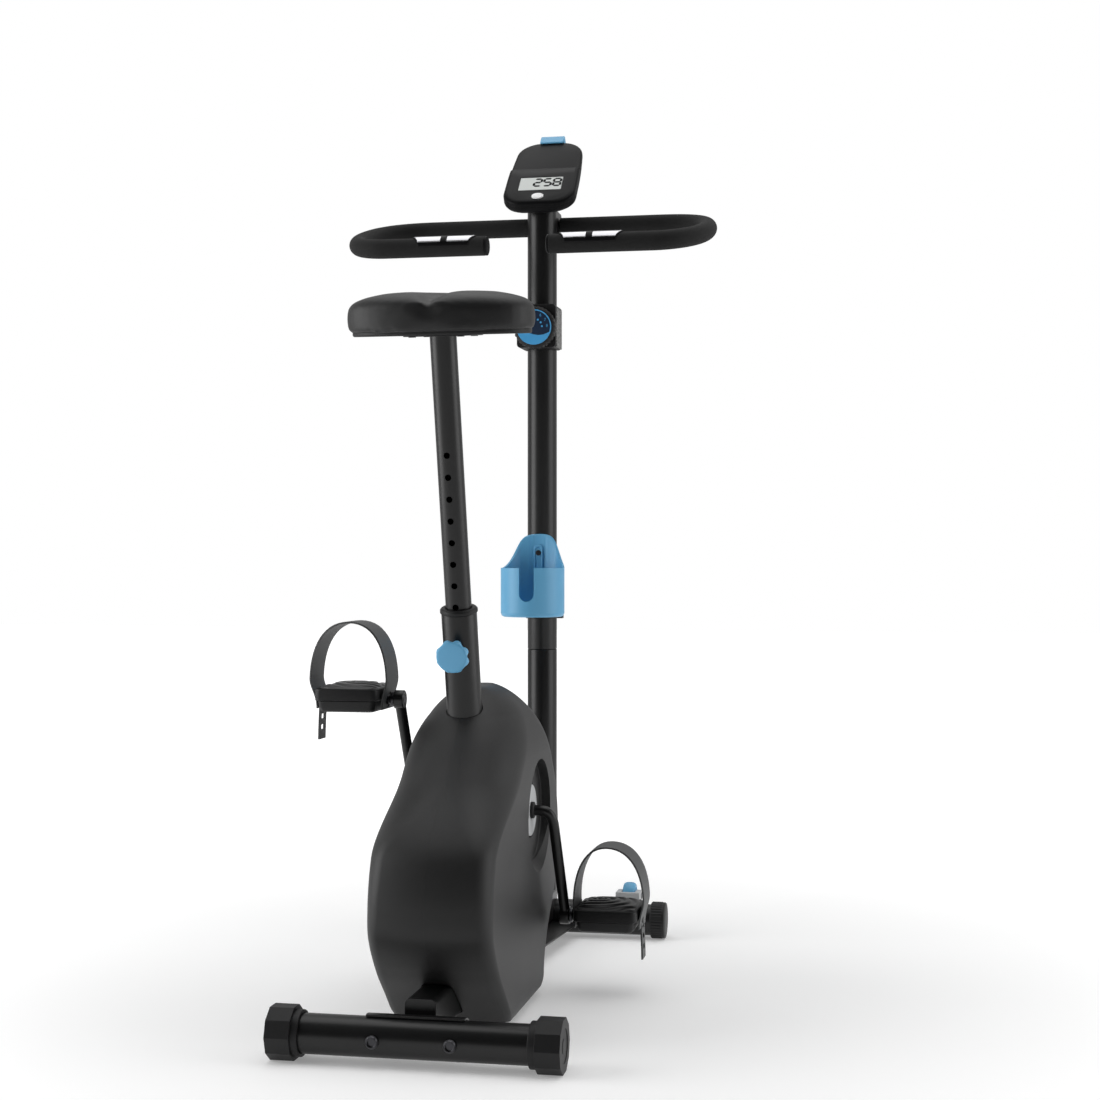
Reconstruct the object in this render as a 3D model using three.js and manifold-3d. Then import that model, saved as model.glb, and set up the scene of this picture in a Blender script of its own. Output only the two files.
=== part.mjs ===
// Upright magnetic exercise bike, built as its real pieces.
// Millimetres. +X is the rider's right, +Y is forwards, +Z is up. While the pieces are built, Y is
// measured from the rear foot's axis and Z from the floor; the last lines put the origin on the floor
// under the middle of the bike.
import * as THREE from 'three';
import { mergeVertices } from 'three/addons/utils/BufferGeometryUtils.js';
import Module from 'manifold-3d';

const wasm = await Module();
wasm.setup();

// ---------------------------------------------------------------- driving dimensions
const gap = 0.3;                 // between pieces that touch
const tubeWall = 2;              // every steel tube of the frame
const roundSides = 20;           // facets round a tube
const fineSides = 24;            // facets round a wide piece

const rearFoot = {
  length: 371, radius: 25, capRadius: 33, capLength: 32, collarLength: 9, flats: 10, eccentric: 1.5,
  runGap: 0.6,
};
const frontFoot = {
  y: 806, length: 404, radius: 25, capRadius: 29.5, capLength: 23, ribs: 12, ribDepth: 1.4,
};
const footBracket = { width: 126, thickness: 3.5, lowerEdge: 0.62, backEdge: 0.22 };
const gusset = { start: 430, startHalfWidth: 27, endHalfWidth: 62 };
const bolt = {
  spacing: 98, shank: 4, head: 8.5, headHeight: 5, socket: 5.5, socketDepth: 3.5, nut: 7, nutHeight: 7,
};
const wheel = {
  x: 137, radius: 22, width: 20, axleZ: 61, reach: 38.5, armThickness: 8.5, sideGap: 1, hub: 4, bore: 4.3,
};

const beam = { width: 40, height: 50, floorGap: 27, corner: 7, start: 20, end: 814, endWall: 3 };
const post = { y: 788, radius: 24, seamZ: 471, spigot: 80 };

const casing = {
  bottom: 12.5, top: 444, halfWidth: 82, wall: 3, archZ: 345, archReach: 100, seam: 0.3,
  tuck: 4, tuckHeight: 18, crown: 14, crownHeight: 90,
  dishRadius: 73, dishDraft: 2, dishFloor: 68, bevel: 14, hubHole: 38.5,
};
// the casing's corners: sharper low down, then rolled over into one round form above rollZ
const casingCorner = {
  rearLow: 10, rearGrowth: 14, rollZ: 240, rollHeight: 90, rollDepth: 105,
  front: 26, frontGrowth: 54, frontZ: 220, frontHeight: 130,
};
// heights up the casing, with the Y of its rear and front walls there
const casingRear = [[12.5, 178], [50, 137], [90, 92], [140, 54], [180, 49], [220, 55], [250, 67], [280, 90],
  [313, 124], [350, 167], [385, 208], [410, 242], [444, 292]];
const casingFront = [[12.5, 412], [50, 418], [90, 442], [140, 492], [180, 512], [220, 519], [266, 528],
  [300, 530], [335, 516], [373, 480], [404, 443], [444, 385]];

const crankAxis = { y: 365.5, z: 266 };
const crank = {
  length: 170, lean: 21.2, bar: 7.5, straight: 78, armX: 100, eyeX: 106, eyeRadius: 13, eyeLength: 14,
};
const shell = { radius: 27, bore: 22.5, cone: 22, coneLength: 12, length: 64, strutWidth: 30 };
const disc = { radius: 36.5, thickness: 4, face: 69.5 };

const flywheel = {
  y: 190, z: 185, radius: 95, width: 24, x: -46, rimWidth: 16, web: 12, hub: 13, sheave: 14,
  axle: 5, bore: 5.3,
  plate: 4, plateGap: 3, arm: 24,
};
const belt = { x: 50, width: 12, thickness: 2.5, pulleyRadius: 80, pulleyHub: 16 };
const magnet = { rimGap: 6, thickness: 8, pivot: 4, bore: 4.3, startDeg: 18, endDeg: 82, width: 20 };

const seat = {
  lean: 13.4, tubeY: 332, tubeRadius: 24, tubeTop: 486, postRadius: 17.5, postTop: 847, postLength: 485,
  postWall: 1.8, holeRadius: 4.4, holePitch: 29.4, holesBelow: 2, holesAbove: 9, pinHeight: 438.2,
  bushFlange: 25.5, bushFlangeHeight: 7, bushLength: 64, runGap: 0.35,
};
const knob = { radius: 22.4, thickness: 15, lobes: 8, lobeDepth: 2.2, bossRadius: 11, bossReach: 15, pin: 4 };
const saddle = {
  rearY: 55, length: 265, widestAt: 0.27, halfWidth: 124.5, noseHalfWidth: 36, bottomZ: 911, height: 46,
  tilt: 7, baseHeight: 8, baseInset: 7, plateWidth: 96, plateLength: 110, plateThickness: 4, plateCorner: 14,
  socketLength: 30, socketWall: 3,
};

const bar = {
  nearY: 593, nearZ: 1103.5, farY: 825, farZ: 1169.6, halfWidth: 279.5, start: 50, tube: 11, foam: 15,
  foamEndX: 24, plugLength: 4,
};
const sensor = { centreX: 113.5, length: 85, seatDepth: 1.6, thickness: 3.4, edge: 0.62 };
const clamp = { width: 44, height: 46, reach: 19 };

const consoleUnit = {
  y: 812.8, z: 1249.8, tilt: 44.5, length: 187, halfWidth: 60, topHalfWidth: 54, thickness: 18, bevel: 4,
  raiseLength: 101, raiseWidth: 112, raise: 6, cornerRadius: 34,
};
const screen = { width: 71, height: 36, centre: -38.5, thickness: 2.4 };
const button = { halfWidth: 10, halfHeight: 7.4, centre: -75.5, height: 6, proud: 2, travel: 1.5 };
const tab = {
  width: 34, length: 72, thickness: 4.4, proud: 16.5, lip: 10, hook: 4, hookThickness: 3, slotGap: 0.4,
};

const dial = {
  z: 992, radius: 34.5, thickness: 19, faceY: 718, crown: 4, ribs: 12, ribDepth: 1.5, spindle: 5, bore: 5.3,
  baseHalfWidth: 34.5, baseBottom: 957, baseTop: 1031,
};
const bottle = {
  radius: 51, wall: 2.6, bottom: 527, rim: 605, backRise: 56, slotHalfWidth: 12, slotBottom: 552,
  bandHeight: 20, bandWall: 3, bandBottom: 522, spineHalfWidth: 10, drain: 6,
};

const pedal = {
  x: 171, halfWidth: 45, halfLength: 50, up: 20, down: 16, corner: 7, axleRadius: 6.5, bore: 6.8,
  boreDepth: 72, flange: 10, flangeLength: 4,
};
const strap = {
  bulgeAt: 38, width: 60, thickness: 2.6, innerFoot: 20, outerFoot: 12,
  tailWidth: 30, tailDrop: 51, holeWidth: 14, holeHeight: 7, holePitch: 15,
};
// how far each strap arches over the foot and bulges past it
const strapArch = {
  left: { top: 107, outer: 55.5, inner: 52.5 },
  right: { top: 101.5, outer: 52, inner: 46 },
};

// ---------------------------------------------------------------- materials
function finish(colour, roughness, metalness = 0) {
  return () => new THREE.MeshStandardMaterial({ color: colour, roughness, metalness });
}
const blackPaint = finish(0x2b2b2d, 0.35, 0.2);
const blackPlastic = finish(0x2e2f31, 0.55);
const charcoalPlastic = finish(0x4b4c4f, 0.6);
const bluePlastic = finish(0x4f9fd0, 0.4);
const paleGreyPlastic = finish(0xc4c6c8, 0.5);
const chrome = finish(0xd8dadd, 0.15, 1);
const steel = finish(0x9a9ca0, 0.35, 1);
const castIron = finish(0x55575a, 0.6, 0.9);
const foamRubber = finish(0x38383a, 0.9);
const paddedCover = finish(0x5a5b5d, 0.75);
const screenGlass = finish(0xb9c0bd, 0.2);
const whitePlastic = finish(0xf1f1ef, 0.45);
const rubber = finish(0x222222, 0.85);

// ---------------------------------------------------------------- solids
function signedVolume(geometry) {
  const p = geometry.attributes.position;
  const index = geometry.index.array;
  const a = new THREE.Vector3();
  const b = new THREE.Vector3();
  const c = new THREE.Vector3();
  let sum = 0;
  for (let i = 0; i < index.length; i += 3) {
    a.fromBufferAttribute(p, index[i]);
    b.fromBufferAttribute(p, index[i + 1]);
    c.fromBufferAttribute(p, index[i + 2]);
    sum += a.dot(b.cross(c));
  }
  return sum / 6;
}

// one skin of shared corners, without empty triangles, facing out
function skin(geometry) {
  const bare = new THREE.BufferGeometry();
  bare.setAttribute('position', geometry.attributes.position);
  bare.setIndex(geometry.index);
  const merged = mergeVertices(bare, 1e-3);
  const source = merged.index.array;
  const kept = [];
  for (let i = 0; i < source.length; i += 3) {
    const [a, b, c] = [source[i], source[i + 1], source[i + 2]];
    if (a !== b && b !== c && c !== a) kept.push(a, b, c);
  }
  merged.setIndex(kept);
  if (signedVolume(merged) < 0) {
    for (let i = 0; i < kept.length; i += 3) [kept[i], kept[i + 1]] = [kept[i + 1], kept[i]];
    merged.setIndex(kept);
  }
  return merged;
}

function toSolid(geometry) {
  const closed = skin(geometry);
  const vertProperties = new Float32Array(closed.attributes.position.array);
  const triVerts = new Uint32Array(closed.index.array);
  return new wasm.Manifold(new wasm.Mesh({ numProp: 3, vertProperties, triVerts }));
}

function toGeometry(solid) {
  const mesh = solid.getMesh();
  const geometry = new THREE.BufferGeometry();
  geometry.setAttribute('position', new THREE.BufferAttribute(new Float32Array(mesh.vertProperties), 3));
  geometry.setIndex(Array.from(mesh.triVerts));
  return geometry;
}

function cut(base, ...tools) {
  return toGeometry(tools.reduce((solid, tool) => solid.subtract(toSolid(tool)), toSolid(base)));
}

function join(base, ...others) {
  return toGeometry(others.reduce((solid, other) => solid.add(toSolid(other)), toSolid(base)));
}

function common(first, second) {
  return toGeometry(toSolid(first).intersect(toSolid(second)));
}

// ---------------------------------------------------------------- basic forms
const radians = THREE.MathUtils.degToRad;

// three.js turns and extrudes about Y or Z: this lays the +Y axis along the wanted one
function alongAxis(geometry, axis) {
  if (axis === 'x') geometry.rotateZ(-Math.PI / 2);
  if (axis === 'z') geometry.rotateX(Math.PI / 2);
  return geometry;
}

function rod(radius, from, to, axis, sides = roundSides) {
  const geometry = new THREE.CylinderGeometry(radius, radius, to - from, sides);
  geometry.translate(0, (from + to) / 2, 0);
  return alongAxis(geometry, axis);
}

function turned(profile, axis, sides = roundSides) {
  const points = profile.map(([radius, height]) => new THREE.Vector2(radius, height));
  return alongAxis(new THREE.LatheGeometry(points, sides), axis);
}

function pipe(outer, inner, from, to, axis, sides = roundSides) {
  const wall = [[inner, from], [outer, from], [outer, to], [inner, to], [inner, from]];
  return turned(wall, axis, sides);
}

function block(low, high) {
  const size = high.map((value, i) => value - low[i]);
  const geometry = new THREE.BoxGeometry(...size);
  return geometry.translate(...low.map((value, i) => value + size[i] / 2));
}

function placed(geometry, x, y, z) {
  return geometry.translate(x, y, z);
}

function roundedRectangle(halfWidth, low, high, radius) {
  const shape = new THREE.Shape();
  shape.moveTo(-halfWidth + radius, low);
  shape.lineTo(halfWidth - radius, low);
  shape.absarc(halfWidth - radius, low + radius, radius, -Math.PI / 2, 0);
  shape.lineTo(halfWidth, high - radius);
  shape.absarc(halfWidth - radius, high - radius, radius, 0, Math.PI / 2);
  shape.lineTo(-halfWidth + radius, high);
  shape.absarc(-halfWidth + radius, high - radius, radius, Math.PI / 2, Math.PI);
  shape.lineTo(-halfWidth, low + radius);
  shape.absarc(-halfWidth + radius, low + radius, radius, Math.PI, Math.PI * 1.5);
  return shape;
}

// a shape drawn on X and Y, extruded from z = from to z = to
function extruded(shape, from, to, curveSegments = 3) {
  const geometry = new THREE.ExtrudeGeometry(shape, { depth: to - from, bevelEnabled: false, curveSegments });
  return geometry.translate(0, 0, from);
}

// a shape drawn on Y and Z, extruded from x = from to x = to
function extrudedAcross(shape, from, to, curveSegments = 3) {
  const geometry = extruded(shape, from, to, curveSegments);
  geometry.applyMatrix4(new THREE.Matrix4().set(0, 0, 1, 0, 1, 0, 0, 0, 0, 1, 0, 0, 0, 0, 0, 1));
  return geometry;
}

// a shape drawn on X and Z, extruded from y = from to y = to
function extrudedAlong(shape, from, to, curveSegments = 3) {
  const geometry = extruded(shape, -to, -from, curveSegments);
  return geometry.rotateX(Math.PI / 2);
}

// a closed form through rings of as many points each, with its two ends filled
function lofted(rings) {
  const count = rings[0].length;
  const positions = rings.flat().flatMap((point) => [point.x, point.y, point.z]);
  const indices = [];
  for (let r = 0; r + 1 < rings.length; r += 1) {
    for (let i = 0; i < count; i += 1) {
      const next = (i + 1) % count;
      const [a, b] = [r * count + i, r * count + next];
      indices.push(a, b, b + count, a, b + count, a + count);
    }
  }
  for (const [ring, start] of [[rings[0], 0], [rings.at(-1), (rings.length - 1) * count]]) {
    const middle = positions.length / 3;
    const centre = ring.reduce((sum, point) => sum.add(point), new THREE.Vector3()).divideScalar(count);
    positions.push(centre.x, centre.y, centre.z);
    for (let i = 0; i < count; i += 1) {
      const pair = [start + i, start + ((i + 1) % count)];
      if (start === 0) pair.reverse();
      indices.push(...pair, middle);
    }
  }
  const geometry = new THREE.BufferGeometry();
  geometry.setAttribute('position', new THREE.Float32BufferAttribute(positions, 3));
  geometry.setIndex(indices);
  return geometry;
}

// a round bar along curves given as [curve, steps]; the path stays square to the direction up
function swept(curves, radius, sideCount, up) {
  const rings = [];
  const addRing = (curve, t) => {
    const centre = curve.getPoint(t);
    const across = curve.getTangent(t).cross(up).normalize();
    const ring = [];
    for (let k = 0; k < sideCount; k += 1) {
      const angle = (k + 0.5) * 2 * Math.PI / sideCount;
      const offset = across.clone().multiplyScalar(Math.cos(angle)).addScaledVector(up, Math.sin(angle));
      ring.push(centre.clone().addScaledVector(offset, radius));
    }
    rings.push(ring);
  };
  addRing(curves[0][0], 0);
  for (const [curve, steps] of curves) {
    for (let i = 1; i <= steps; i += 1) addRing(curve, i / steps);
  }
  return lofted(rings);
}

function line3(from, to) {
  return new THREE.LineCurve3(from, to);
}

// outline through alternating radii, for ribbed and lobed rims; drawn round the middle
function rimShape(steps, radiusAt, startAngle = 0) {
  const shape = new THREE.Shape();
  for (let i = 0; i < steps; i += 1) {
    const angle = startAngle + i * 2 * Math.PI / steps;
    const [a, b] = [radiusAt(i, angle) * Math.cos(angle), radiusAt(i, angle) * Math.sin(angle)];
    if (i === 0) shape.moveTo(a, b);
    else shape.lineTo(a, b);
  }
  return shape;
}

// smooth value at a height, from a list of [height, value]
function profileValue(list, height) {
  const last = list.length - 1;
  let i = list.findIndex(([z]) => z >= height);
  if (i < 0) i = last;
  i = Math.max(i, 1);
  const [z0, v0] = list[i - 1];
  const [z1, v1] = list[i];
  const slope = (k) => {
    const [before, after] = [list[Math.max(k - 1, 0)], list[Math.min(k + 1, last)]];
    return (after[1] - before[1]) / (after[0] - before[0]);
  };
  const span = z1 - z0;
  const t = THREE.MathUtils.clamp((height - z0) / span, 0, 1);
  const [m0, m1] = [slope(i - 1) * span, slope(i) * span];
  const cubic = t * t * t;
  const square = t * t;
  return (2 * cubic - 3 * square + 1) * v0 + (cubic - 2 * square + t) * m0
    + (3 * square - 2 * cubic) * v1 + (cubic - square) * m1;
}

// ---------------------------------------------------------------- the scene graph
const bike = new THREE.Group();

function add(name, geometry, material, parent = bike) {
  const mesh = new THREE.Mesh(skin(geometry), material());
  mesh.name = name;
  parent.add(mesh);
  return mesh;
}

const sides = [['left', -1], ['right', 1]];

// mirrors a geometry from the right side to the left where the side asks for it
function onSide(geometry, side) {
  return side < 0 ? geometry.clone().scale(-1, 1, 1) : geometry;
}

// ---------------------------------------------------------------- feet
const rearAxisZ = rearFoot.capRadius;
const frontAxisZ = frontFoot.capRadius;
const bracketOuter = rearFoot.radius + gap + footBracket.thickness;
const frontBracketOuter = frontFoot.radius + gap + footBracket.thickness;

// the two bolts of a foot run along Y, and their holes are cut through tube and bracket
function boltHoles(radius, start = -bracketOuter - bolt.nutHeight, end = -start) {
  return sides.map(([, side]) => rod(radius, start, end, 'y', 12).translate(side * bolt.spacing / 2, 0, 0));
}

function footTube(foot, length) {
  const half = length / 2;
  const tube = pipe(foot.radius, foot.radius - tubeWall, -half, half, 'x');
  return cut(tube, ...boltHoles(bolt.shank + gap));
}

// bent plate between a foot tube and the beam, round the upper side of the tube that faces the beam
function footBracketPlate(foot, facing) {
  const inner = foot.radius + gap;
  const outer = inner + footBracket.thickness;
  const half = footBracket.width / 2;
  const ring = pipe(outer, inner, -half, half, 'x');
  const reach = outer + 1;
  const lowerEdge = -foot.radius * footBracket.lowerEdge;
  const backEdge = -foot.radius * footBracket.backEdge;
  const below = block([-half - 1, -reach, -reach], [half + 1, reach, lowerEdge]);
  const behind = block([-half - 1, -reach, -reach], [half + 1, backEdge, reach]);
  const plate = cut(ring, below, behind, ...boltHoles(bolt.shank + gap));
  return facing > 0 ? plate : plate.scale(1, -1, 1);
}

// the front bracket with its gusset, a flared plate under the beam's front half
function frontBracket() {
  const { start, startHalfWidth, endHalfWidth } = gusset;
  const nearTube = frontFoot.y - frontFoot.radius - gap - 1;
  const outline = new THREE.Shape();
  outline.moveTo(-startHalfWidth, start);
  outline.lineTo(startHalfWidth, start);
  outline.lineTo(endHalfWidth, nearTube);
  outline.lineTo(-endHalfWidth, nearTube);
  const top = beam.floorGap - gap;
  const plate = extruded(outline, top - footBracket.thickness, top);
  const inFootGroup = plate.translate(0, -frontFoot.y, -frontAxisZ);
  const tubeSpace = rod(frontFoot.radius + gap, -endHalfWidth - 1, endHalfWidth + 1, 'x');
  const nutEnd = frontBracketOuter + bolt.nutHeight + 2 * gap;
  const nutSpace = boltHoles(bolt.nut + gap, -nutEnd, -frontBracketOuter);
  const flared = cut(inFootGroup, tubeSpace, ...nutSpace, ...boltHoles(bolt.shank + gap));
  return join(footBracketPlate(frontFoot, -1), flared);
}

// round-headed bolt with a socket, its head outside and its nut inside the bracket
function footBolt(foot, facing) {
  const face = -foot.radius - gap;
  const end = foot.radius + gap + footBracket.thickness + gap;
  const body = turned([
    [0, face - bolt.headHeight + bolt.socketDepth],
    [bolt.socket, face - bolt.headHeight + bolt.socketDepth],
    [bolt.socket, face - bolt.headHeight],
    [bolt.head - 1.5, face - bolt.headHeight],
    [bolt.head, face - bolt.headHeight + 1.5],
    [bolt.head, face],
    [bolt.shank, face],
    [bolt.shank, end],
    [bolt.nut, end],
    [bolt.nut, end + bolt.nutHeight],
    [0, end + bolt.nutHeight],
  ], 'y', 12);
  return facing > 0 ? body : body.scale(1, -1, 1);
}

const rearTubeLength = rearFoot.length - 2 * (tubeWall + gap);
const frontTubeLength = frontFoot.length - 2 * (tubeWall + gap);
const rearFootGroup = new THREE.Group();
rearFootGroup.position.set(0, 0, rearAxisZ);
bike.add(rearFootGroup);
const frontFootGroup = new THREE.Group();
frontFootGroup.position.set(0, frontFoot.y, frontAxisZ);
bike.add(frontFootGroup);

add('rear_foot_tube', footTube(rearFoot, rearTubeLength), blackPaint, rearFootGroup);
add('front_foot_tube', footTube(frontFoot, frontTubeLength), blackPaint, frontFootGroup);
add('rear_foot_bracket', footBracketPlate(rearFoot, 1), blackPaint, rearFootGroup);
add('front_foot_bracket', frontBracket(), blackPaint, frontFootGroup);

// the cap's bore is off its centre, so turning the cap on the tube levels the bike
function rearCap() {
  const half = rearFoot.length / 2;
  const inner = rearFoot.radius + rearFoot.runGap;
  const bodyStart = half - rearFoot.capLength;
  const corner = rearFoot.capRadius / Math.cos(Math.PI / rearFoot.flats);
  const outline = rimShape(rearFoot.flats, () => corner, Math.PI / rearFoot.flats - Math.PI / 2);
  const body = extrudedAcross(outline, bodyStart, half).translate(0, rearFoot.eccentric, 0);
  const collar = rod(inner + tubeWall, bodyStart - rearFoot.collarLength, bodyStart + 1, 'x', fineSides);
  const hollow = rod(inner, bodyStart - rearFoot.collarLength - 1, half - tubeWall, 'x', fineSides);
  return cut(join(body, collar), hollow);
}

function frontCap() {
  const half = frontFoot.length / 2;
  const start = half - frontFoot.capLength;
  const discStart = half - 4;
  const ribRadius = (i) => frontFoot.capRadius - (i % 2) * frontFoot.ribDepth;
  const ribbed = extrudedAcross(rimShape(frontFoot.ribs * 2, ribRadius, -Math.PI / 2), start, discStart);
  const endDisc = rod(frontFoot.capRadius - 1, discStart - 1, half, 'x', fineSides);
  const hollow = rod(frontFoot.radius + gap, start - 1, half - tubeWall, 'x');
  return cut(join(ribbed, endDisc), hollow);
}

// fork in front of the front foot tube, with the small wheel that the bike is tipped onto
const wheelY = wheel.reach;
const wheelZ = wheel.axleZ - frontAxisZ;

function wheelBracket() {
  const inner = wheel.width / 2 + wheel.sideGap;
  const outer = inner + wheel.armThickness;
  const eye = wheel.radius * 0.45;
  const back = frontFoot.radius * 0.35;
  const arm = new THREE.Shape();
  arm.moveTo(back, -frontFoot.radius * 0.2);
  arm.lineTo(wheelY, wheelZ - eye);
  arm.absarc(wheelY, wheelZ, eye, -Math.PI / 2, Math.PI / 2);
  arm.lineTo(back, wheelZ + eye);
  const slab = extrudedAcross(arm, -outer, outer, 4);
  const slot = block([-inner, wheelY - wheel.radius - 1.5, -100], [inner, 200, 100]);
  const tube = rod(frontFoot.radius + gap, -outer - 1, outer + 1, 'x');
  const forked = cut(slab, slot, tube);
  const axle = rod(wheel.hub, -inner - 1, inner + 1, 'x', 12).translate(0, wheelY, wheelZ);
  return join(forked, axle).translate(wheel.x, 0, 0);
}

function transportWheel() {
  const half = wheel.width / 2;
  const tyre = turned([
    [wheel.bore, -half], [wheel.radius * 0.8, -half], [wheel.radius, -half * 0.5],
    [wheel.radius, half * 0.5], [wheel.radius * 0.8, half], [wheel.bore, half], [wheel.bore, -half],
  ], 'x', 24);
  return tyre.translate(wheel.x, wheelY, wheelZ);
}

for (const [name, side] of sides) {
  const rearBolt = add(`rear_foot_bolt_${name}`, footBolt(rearFoot, 1), steel, rearFootGroup);
  rearBolt.position.x = side * bolt.spacing / 2;
  const frontBolt = add(`front_foot_bolt_${name}`, footBolt(frontFoot, -1), steel, frontFootGroup);
  frontBolt.position.x = side * bolt.spacing / 2;
  add(`rear_foot_cap_${name}`, onSide(rearCap(), side), blackPlastic, rearFootGroup);
  add(`front_foot_cap_${name}`, onSide(frontCap(), side), blackPlastic, frontFootGroup);
  add(`wheel_bracket_${name}`, onSide(wheelBracket(), side), paleGreyPlastic, frontFootGroup);
  add(`transport_wheel_${name}`, onSide(transportWheel(), side), bluePlastic, frontFootGroup);
}

// ---------------------------------------------------------------- frame
const beamTop = beam.floorGap + beam.height;

function frameBeam() {
  const { width, floorGap, corner, start, end, endWall } = beam;
  const section = (inset) => roundedRectangle(
    width / 2 - inset,
    floorGap + inset,
    beamTop - inset,
    corner - inset,
  );
  const [outline, inner] = [section(0), section(tubeWall)];
  const tube = cut(extrudedAlong(outline, start, end), extrudedAlong(inner, start + endWall, end - endWall));
  const cope = (outer) => rod(outer + gap, -width, width, 'x');
  const rearCope = placed(cope(bracketOuter), 0, 0, rearAxisZ);
  const frontCope = placed(cope(frontBracketOuter), 0, frontFoot.y, frontAxisZ);
  return cut(tube, rearCope, frontCope);
}
add('frame_beam', frameBeam(), blackPaint);

function upright(radius, inner, from, to) {
  return pipe(radius, inner, from, to, 'z');
}

const postBore = post.radius - tubeWall;
function postStub() {
  const tube = upright(post.radius, postBore, beamTop + gap, post.seamZ);
  return placed(tube, 0, post.y, 0);
}
add('post_stub', postStub(), blackPaint);

const consoleTilt = radians(consoleUnit.tilt);
// the half space in front of and above the console's back, in the bike's own frame
function aboveConsoleBack(clearance) {
  const reach = 300;
  const slab = block([-reach, -reach, -consoleUnit.thickness / 2 - clearance], [reach, reach, reach]);
  return slab.rotateX(consoleTilt).translate(0, consoleUnit.y, consoleUnit.z);
}

function handlebarPost() {
  const spigotRadius = postBore - gap;
  const bottom = post.seamZ - post.spigot;
  const wall = turned([
    [spigotRadius - tubeWall, bottom],
    [spigotRadius, bottom],
    [spigotRadius, post.seamZ + gap],
    [post.radius, post.seamZ + gap],
    [post.radius, consoleUnit.z + 40],
    [spigotRadius - tubeWall, consoleUnit.z + 40],
    [spigotRadius - tubeWall, bottom],
  ], 'z');
  return cut(placed(wall, 0, post.y, 0), aboveConsoleBack(gap));
}
add('handlebar_post', handlebarPost(), blackPaint);

// ---------------------------------------------------------------- seat tube, seat post and knob
// this group stands on the beam and leans back: its own Z runs up the seat tube
const seatLean = radians(seat.lean);
const seatGroup = new THREE.Group();
seatGroup.position.set(0, seat.tubeY, beamTop);
seatGroup.rotation.x = seatLean;
bike.add(seatGroup);
const seatBore = seat.tubeRadius - tubeWall;
const bushBore = seat.postRadius + seat.runGap;

// where a point of the bike lies in the leaning group
function inSeatGroup(y, z) {
  const [dy, dz] = [y - seat.tubeY, z - beamTop];
  const [cosine, sine] = [Math.cos(seatLean), Math.sin(seatLean)];
  return [dy * cosine + dz * sine, dz * cosine - dy * sine];
}

function pinHole(radius, reach) {
  return rod(radius, -reach, 0, 'y', 8).translate(0, 0, seat.pinHeight);
}

const magnetReach = flywheel.radius + magnet.rimGap + magnet.thickness / 2;
const magnetPivot = {
  y: magnetReach * Math.cos(radians(magnet.startDeg)),
  z: magnetReach * Math.sin(radians(magnet.startDeg)),
};

function seatTube() {
  const long = seat.tubeRadius;
  const bossReach = seat.tubeRadius + knob.bossReach;
  const tube = rod(seat.tubeRadius, -long, seat.tubeTop, 'z');
  const boss = rod(knob.bossRadius, -bossReach, -seatBore, 'y', 16).translate(0, 0, seat.pinHeight);
  const [pivotY, pivotZ] = inSeatGroup(flywheel.y + magnetPivot.y, flywheel.z + magnetPivot.z);
  const pivotEnd = flywheel.x - magnet.width / 2 - 2;
  const pivot = rod(magnet.pivot, pivotEnd, 0, 'x', 12).translate(0, pivotY, pivotZ);
  const bore = rod(seatBore, -long - 1, seat.tubeTop + 1, 'z');
  const floor = block([-100, -200, -200], [100, 200, gap]).rotateX(-seatLean);
  return cut(join(tube, boss, pivot), bore, pinHole(knob.pin + gap, bossReach + 1), floor);
}
add('seat_tube', seatTube(), blackPaint, seatGroup);

function seatBush() {
  const top = seat.tubeTop + gap;
  const wall = turned([
    [bushBore, top - seat.bushLength],
    [seatBore - gap, top - seat.bushLength],
    [seatBore - gap, top],
    [seat.bushFlange, top],
    [seat.bushFlange, top + seat.bushFlangeHeight - 2],
    [seat.bushFlange - 2, top + seat.bushFlangeHeight],
    [bushBore, top + seat.bushFlangeHeight],
    [bushBore, top - seat.bushLength],
  ], 'z');
  return cut(wall, pinHole(knob.pin + gap, seat.tubeRadius));
}
add('seat_bush', seatBush(), blackPlastic, seatGroup);

function seatPost() {
  const { postRadius, postWall, postTop, postLength } = seat;
  const tube = upright(postRadius, postRadius - postWall, postTop - postLength, postTop);
  const holes = [];
  for (let i = -seat.holesBelow; i <= seat.holesAbove; i += 1) {
    holes.push(pinHole(seat.holeRadius, seat.postRadius + 2).translate(0, 0, i * seat.holePitch));
  }
  return cut(tube, ...holes);
}
add('seat_post', seatPost(), blackPaint, seatGroup);

function seatKnob() {
  const start = -seat.tubeRadius - knob.bossReach - gap;
  const lobed = (i, angle) => knob.radius - knob.lobeDepth * (0.5 + 0.5 * Math.cos(knob.lobes * angle));
  const grip = extrudedAlong(rimShape(knob.lobes * 5, lobed), start - knob.thickness, start - 4);
  const neck = rod(knob.bossRadius, start - 5, start, 'y', 16);
  const pin = rod(knob.pin, start - 1, -seat.postRadius - gap, 'y', 8);
  return join(grip, neck, pin).translate(0, 0, seat.pinHeight);
}
add('seat_knob', seatKnob(), bluePlastic, seatGroup);

// ---------------------------------------------------------------- saddle
// drawn level from its rear lower edge, then tipped nose up about that edge
const saddleTilt = radians(saddle.tilt);
function tippedSaddle(geometry) {
  return geometry.rotateX(saddleTilt).translate(0, saddle.rearY, saddle.bottomZ);
}
const saddleBaseTop = -gap;
const saddleBaseBottom = saddleBaseTop - saddle.baseHeight;

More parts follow.
